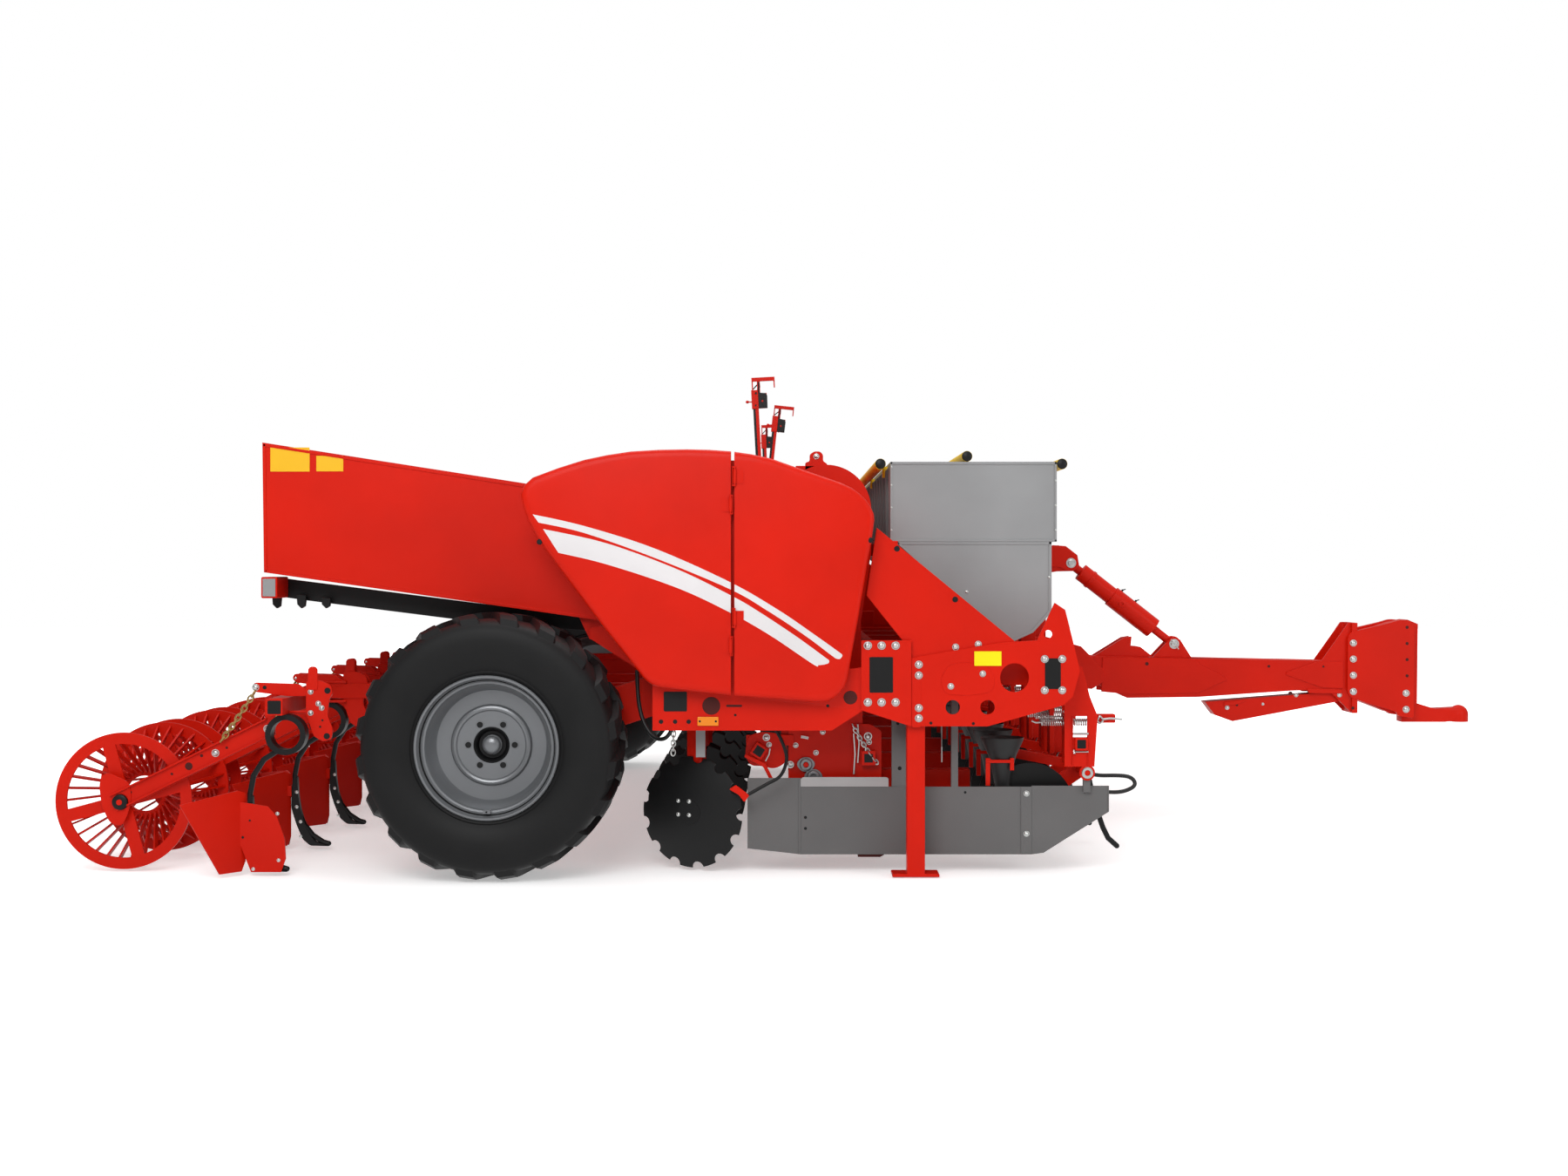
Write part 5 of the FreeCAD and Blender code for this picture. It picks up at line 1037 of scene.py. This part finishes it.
# --- Tines and hillers --------------------------------------------------------------------
# Black spring-steel tines carry a red pair of hilling wings each. The wings are pressed from
# plate, held by plated bolts, and the outermost ones show their punched holes.
nodes["spring_tines"].data.materials[0] = black
rounded_copy("ridger_bodies", 1.5)
furrow_ys = [(i - 3) * 750.0 for i in range(7)]
shin = rounded([(-1062, 346), (-1073, 290), (-1074, 194), (-1052, 121), (-1021, 47), (-985, 16), (-890, 13.5),
                (-962, 34), (-1004, 100), (-1031, 184), (-1042, 258), (-1046, 344)], 12, 3)
made("hiller_shins", black, [(shin, y - 14, y + 14) for y in furrow_ys], round_off=1.5, both=False)
cups("hiller_holes", black, [(x, -2274.2, z, r) for x, z, r in
                             ((-1118, 306, 4), (-1125, 262, 5), (-1055, 238, 4), (-1085, 165, 5))], sides=12)
heads("hiller_bolts", 8, [((x, y - 14.5, z), (0, -1, 0)) for y in furrow_ys for x, z in
                          ((-1030, 60), (-1030, 130), (-1048, 200), (-1048, 270))]
      + [((x, side * 2274.5, z), (0, side, 0)) for side in (-1, 1)
         for x, z in ((-935, 268), (-930, 66), (-1040, 28))])


# --- Furrow openers' front ----------------------------------------------------------------
# Smooth black coulter discs run ahead of each row, under black moulded funnels for the
# fertiliser. Red tower plates hold them, with long pull springs of plated wire on top.
for row in range(1, 7):
    nodes["coulter_%d" % row].data.materials[0] = black
# Polyethylene from a mould: a waxy black with a soft, coarse bump.
funnel_black = enamel("black_moulded_polyethylene", "#141415", 0.5, peel=0.12, ior=1.5)
funnel = [(90, 574), (95, 581), (93, 569), (62, 500), (53, 466), (45, 430), (36, 380), (34, 330), (30, 330),
          (32, 380), (41, 430), (49, 466), (58, 500), (90, 574)]
funnel_ys = [row_y + side * 200 for row_y, side in row_sides]
made("fertiliser_funnels", funnel_black,
     lathes=[(funnel, (2226, y, 0), 28, 1, "Z") for y in funnel_ys], both=False)
made("funnel_holders", red, [(outline, y + y0, y + y0 + 12) for y in funnel_ys for outline, y0 in
                             ((square(2146, 2166, 372, 494), -62), (square(2253, 2271, 440, 494), -62),
                              (square(2146, 2271, 473, 487), -64))], round_off=2, both=False)


def coil(start, end, radius, wire, turns):
    """Close-wound spring of round wire between two points in millimetres, as a bent bar."""
    a, b = Vector(start), Vector(end)
    across = (b - a).orthogonal().normalized()
    other = (b - a).normalized().cross(across)
    route = []
    for k in range(turns * 12 + 1):
        turn = math.radians(30 * k)
        out = (across * math.cos(turn) + other * math.sin(turn)) * radius
        route.append(a.lerp(b, k / (turns * 12)) + out)
    return route, wire, 6


springs, pivots, shaft_ends, towers = [], [], [], []
for row_y, side in row_sides:
    y = row_y + side * 232
    springs += [coil((2392, y, 650), (2604, y, 650), 13.5, 3.6, 22),
                coil((2368, y, 672), (2490, y, 672), 6.5, 2.2, 18),
                ([(2352, y, 656), (2372, y, 648), (2392, y, 650)], 4)]
    pivot = (2582, row_y + side * 330, 437)
    pivots.append(([(13, 3), (13, 9), (22, 9), (25, 6), (26, 0), (13, 0), (13, 3)], pivot, 24, side))
    shaft_ends.append(([(0, 6), (11, 6), (13, 4), (13, 0), (0, 0)], pivot, 18, side))
    towers += [(square(2491, 2512, 470, 690), y - 44, y + 44), (square(2604, 2616, 600, 690), y - 20, y + 20)]
made("coulter_springs", zinc, bars=springs, both=False)
made("coulter_pivot_pins", zinc, lathes=pivots, both=False)
made("coulter_towers", red, towers, shaft_ends, round_off=1.5, both=False)
tower_y = -2205
made("tower_tubes", red, [(square(2515, 2519, 470, 686), tower_y - 6, tower_y),
                          (square(2582, 2586, 470, 686), tower_y - 6, tower_y),
                          (oblong(2526, 2582, 536, 592, 8), tower_y - 22, tower_y),
                          (oblong(2628, 2720, 648, 686, 6), -2120, -2082)], round_off=1.8)
# The tube's open end is a black inset: painted shade for its hollow inside.
made("tower_tube_hollows", black, [(oblong(2535, 2573, 545, 583, 4), tower_y - 22.8, tower_y - 21)])
made("tower_wires", zinc, bars=[
    ([(2519, tower_y - 5, 608), (2586, tower_y - 5, 608)], 5),
    ([(2519, tower_y - 5, 529), (2586, tower_y - 5, 529)], 3),
    ([(2524, tower_y - 4, 536), (2524, tower_y - 10, 520)], 6),
    (smooth_line([(2640, -2128, 662), (2650, -2128, 678), (2664, -2128, 666), (2700, -2128, 668),
                  (2748, -2128, 664)]), 4.5),
    (smooth_line([(2636, -2128, 660), (2650, -2128, 646), (2664, -2128, 660)]), 4.5),
    ([(1951, -2150, 820), (1951, -2150, 545)], 1.6), ([(1951, -2150, 545), (1951, -2150, 478)], 4)])


# --- Drive hood ---------------------------------------------------------------------------
# A rounded red hood closes each cup belt's top. An eared bracket with a plated bolt stands on
# it, and a folded lip runs along its front.
hood_ear = rounded([(1352, 1758), (1352, 1800), (1372, 1806), (1372, 1836), (1392, 1850), (1418, 1850),
                    (1432, 1836), (1432, 1806), (1450, 1796), (1456, 1750)], 8, 3)
hood_lip = [(1310, 1786), (1460, 1786), (1460, 1778), (1310, 1760)]
made("hood_brackets", red, [(outline, y - 170, y + end) for y in row_ys
                            for outline, end in ((hood_ear, -160), (hood_lip, -70))],
     round_off=1.5, both=False)
bolts("hood_bolts", 13, [(1402, y - 171, 1828) for y in row_ys], hands=(1,))


# --- Adjusting levers ---------------------------------------------------------------------
# Three square red levers rise behind the cup belts. Each has a hand loop of flat bar, a
# sprung black catch, a black stop block and a red knob on its back.
rounded_copy("lever_posts", 2.0)
lever_x, lever_foot = 1152, 1580
catches, catch_bars, knobs = [], [], []
for y, lean in ((-1500, -3), (0, 6), (1500, -2)):
    c, s = math.cos(math.radians(lean)), math.sin(math.radians(lean))

    def leant(x, z):
        """Place in the side view of a point on the upright lever once it leans."""
        return lever_x + x * c + (z - lever_foot) * s, lever_foot - x * s + (z - lever_foot) * c

    # The long strip from 1610 to 2085 covers the left part of each post in black: painted shade on the post's
    # shaded side.
    catches += [([leant(*p) for p in outline], y - half, y + half) for outline, half in
                (([(13, 2087), (55, 2087), (56, 2146), (50, 2157), (13, 2161)], 14),
                 (square(-13.6, -2, 1610, 2085), 13.6))]
    catch_bars += [([(leant(*p)[0], y, leant(*p)[1]) for p in route], radius) for route, radius in
                   ((((17, 2158), (16, 2176), (18, 2190), (17, 2212)), 7.5), (((-12, 2176), (12, 2200)), 3))]
    for profile, along, steps, axis in (
            ([(0, -8), (5, -6), (7.5, -1), (7.5, 2), (5, 7), (3, 8), (3, 26), (0, 26)], -40, 14, "X"),
            ([(0, -15.2), (4, -15), (5, -13.5), (0, -13.5)], 32, 12, "Y")):
        x, z = leant(along, 2120)
        knobs.append((profile, (x, y, z), steps, 1, axis))
made("lever_catches", black, catches, bars=catch_bars, round_off=1.5, both=False)
made("lever_knobs", red, lathes=knobs, both=False)
cups("lever_holes", black, [(1125, -1517.6, 2157, 4.5), (1124, -1517.6, 2100, 3.5)], both=False, sides=12)


# --- Drawbar and hitch --------------------------------------------------------------------
# The box drawbar is stiffened by welded plates at both ends. Tall cheek plates hold the hitch
# head on four dome-headed bolts a side, with a row of spare holes to set its height.
made("drawbar_stiffeners", red,
     [([(3008, 838), (3492, 830), (3688, 727), (3688, 713), (3530, 642), (3144, 636), (3000, 650)], -86, -80),
      (rounded([(4017, 757), (4017, 742), (4212, 672), (4330, 668), (4330, 816), (4190, 816)], 8), -86, -80),
      (rounded([(4350, 945), (4368, 978), (4574, 1026), (4636, 1044), (4694, 1040), (4716, 1012), (4712, 505),
                (4625, 518), (4615, 541), (4424, 598), (4363, 622), (4348, 650)], 18), -104, -70),
      ([(4130, 668), (4323, 662), (4323, 640), (4142, 642)], -88, -60)], round_off=2, body="drawbar")
bolts("hitch_bolts", 19, [(4379, -105, z) for z in (918, 830, 741, 652)]
      + [(4668, -105, z) for z in (643, 554)], "drawbar")
cups("hitch_holes", shade_red, [(4674, -104.2, z, 8) for z in (1004, 915, 827, 738)]
     + [(4378, -100.4, 561, 8), (3922, -80.3, 789, 7), (4220, -86.3, 788, 5), (3251, -86.3, 803, 9)],
     "drawbar", sides=14)


# --- Drawbar ram --------------------------------------------------------------------------
# The ram is painted with the machine: a barrel with a thicker lower half, two oil ports on
# top and a plugged port on its side. Plated pins hold it to the mast's ears and the drawbar.
rear_x, rear_z, front_x, front_z = 2838, 1357, 3407, 911
reach = math.hypot(front_x - rear_x, front_z - rear_z)
ux, uz = (front_x - rear_x) / reach, (front_z - rear_z) / reach


def along_ram(s, up):
    """Point a distance along the ram from its rear eye, and out from its axis."""
    return (rear_x + ux * s - uz * up, 0, rear_z + uz * s + ux * up)


ram_pin = [(0, -12), (15, -12), (19, -9), (19, -3), (27, -3), (28, 0), (0, 0)]
made("ram_front_pins", zinc, lathes=[(ram_pin, (front_x, -55, front_z), 24)],
     bars=[([(front_x - 20, -69, front_z + 26), (front_x + 4, -69, front_z - 2),
             (front_x + 22, -69, front_z - 28)], 3)], body="drawbar")
made("ram_rear_pins", zinc, lathes=[(ram_pin, (rear_x, -66, rear_z), 24)])
mast_ear = rounded([(2705, 1438), (2735, 1454), (2775, 1454), (2780, 1438), (2815, 1436), (2850, 1410),
                    (2867, 1375), (2870, 1345), (2850, 1322), (2812, 1314), (2775, 1334), (2705, 1337)], 10)
made("mast_ears", red, [(mast_ear, -66, -60)], round_off=1.5)
sleeve, ports = bmesh.new(), bmesh.new()
rod(sleeve, along_ram(296, 0), along_ram(587, 0), 57, 40)
rod(sleeve, along_ram(140, 0), along_ram(156, 0), 52, 40)
lathe(sleeve, [(9, -62), (15, -62), (17, -60), (17, -44), (9, -44), (9, -62)], along_ram(360, -6), 18)
piece("ram_sleeve", sleeve, "cylinder_barrel", red, 2)
for s in (325, 420):
    rod(ports, along_ram(s, 54), along_ram(s, 66), 6, 10)
    bent_bar(ports, [along_ram(s, 64), along_ram(s + 10, 78)], 3)
piece("ram_ports", ports, "cylinder_barrel", black)
nodes["cylinder_rod"].data.materials[0] = red


# --- Parking leg --------------------------------------------------------------------------
# A folded channel under the drawbar, stiffened by a welded strap. It turns on a large plated
# bolt at its front end and folds up for the road.
made("leg_straps", red, [(rounded([(3680, 590), (3680, 570), (3750, 578), (3802, 600), (3796, 608)], 4),
                          -66, -58)], round_off=1.5, body="parking_leg")
bolts("leg_bolts", 12, [(3698, -59, 560), (4078, -59, 630)], "parking_leg")
bolts("leg_small_bolts", 8, [(3895, -59, 580)], "parking_leg")
bolts("leg_pivot_bolts", 13, [(4310, -81, 632)], "drawbar")
cups("leg_holes", shade_red, [(3752, -58.3, 574, 6)], "parking_leg", sides=12)
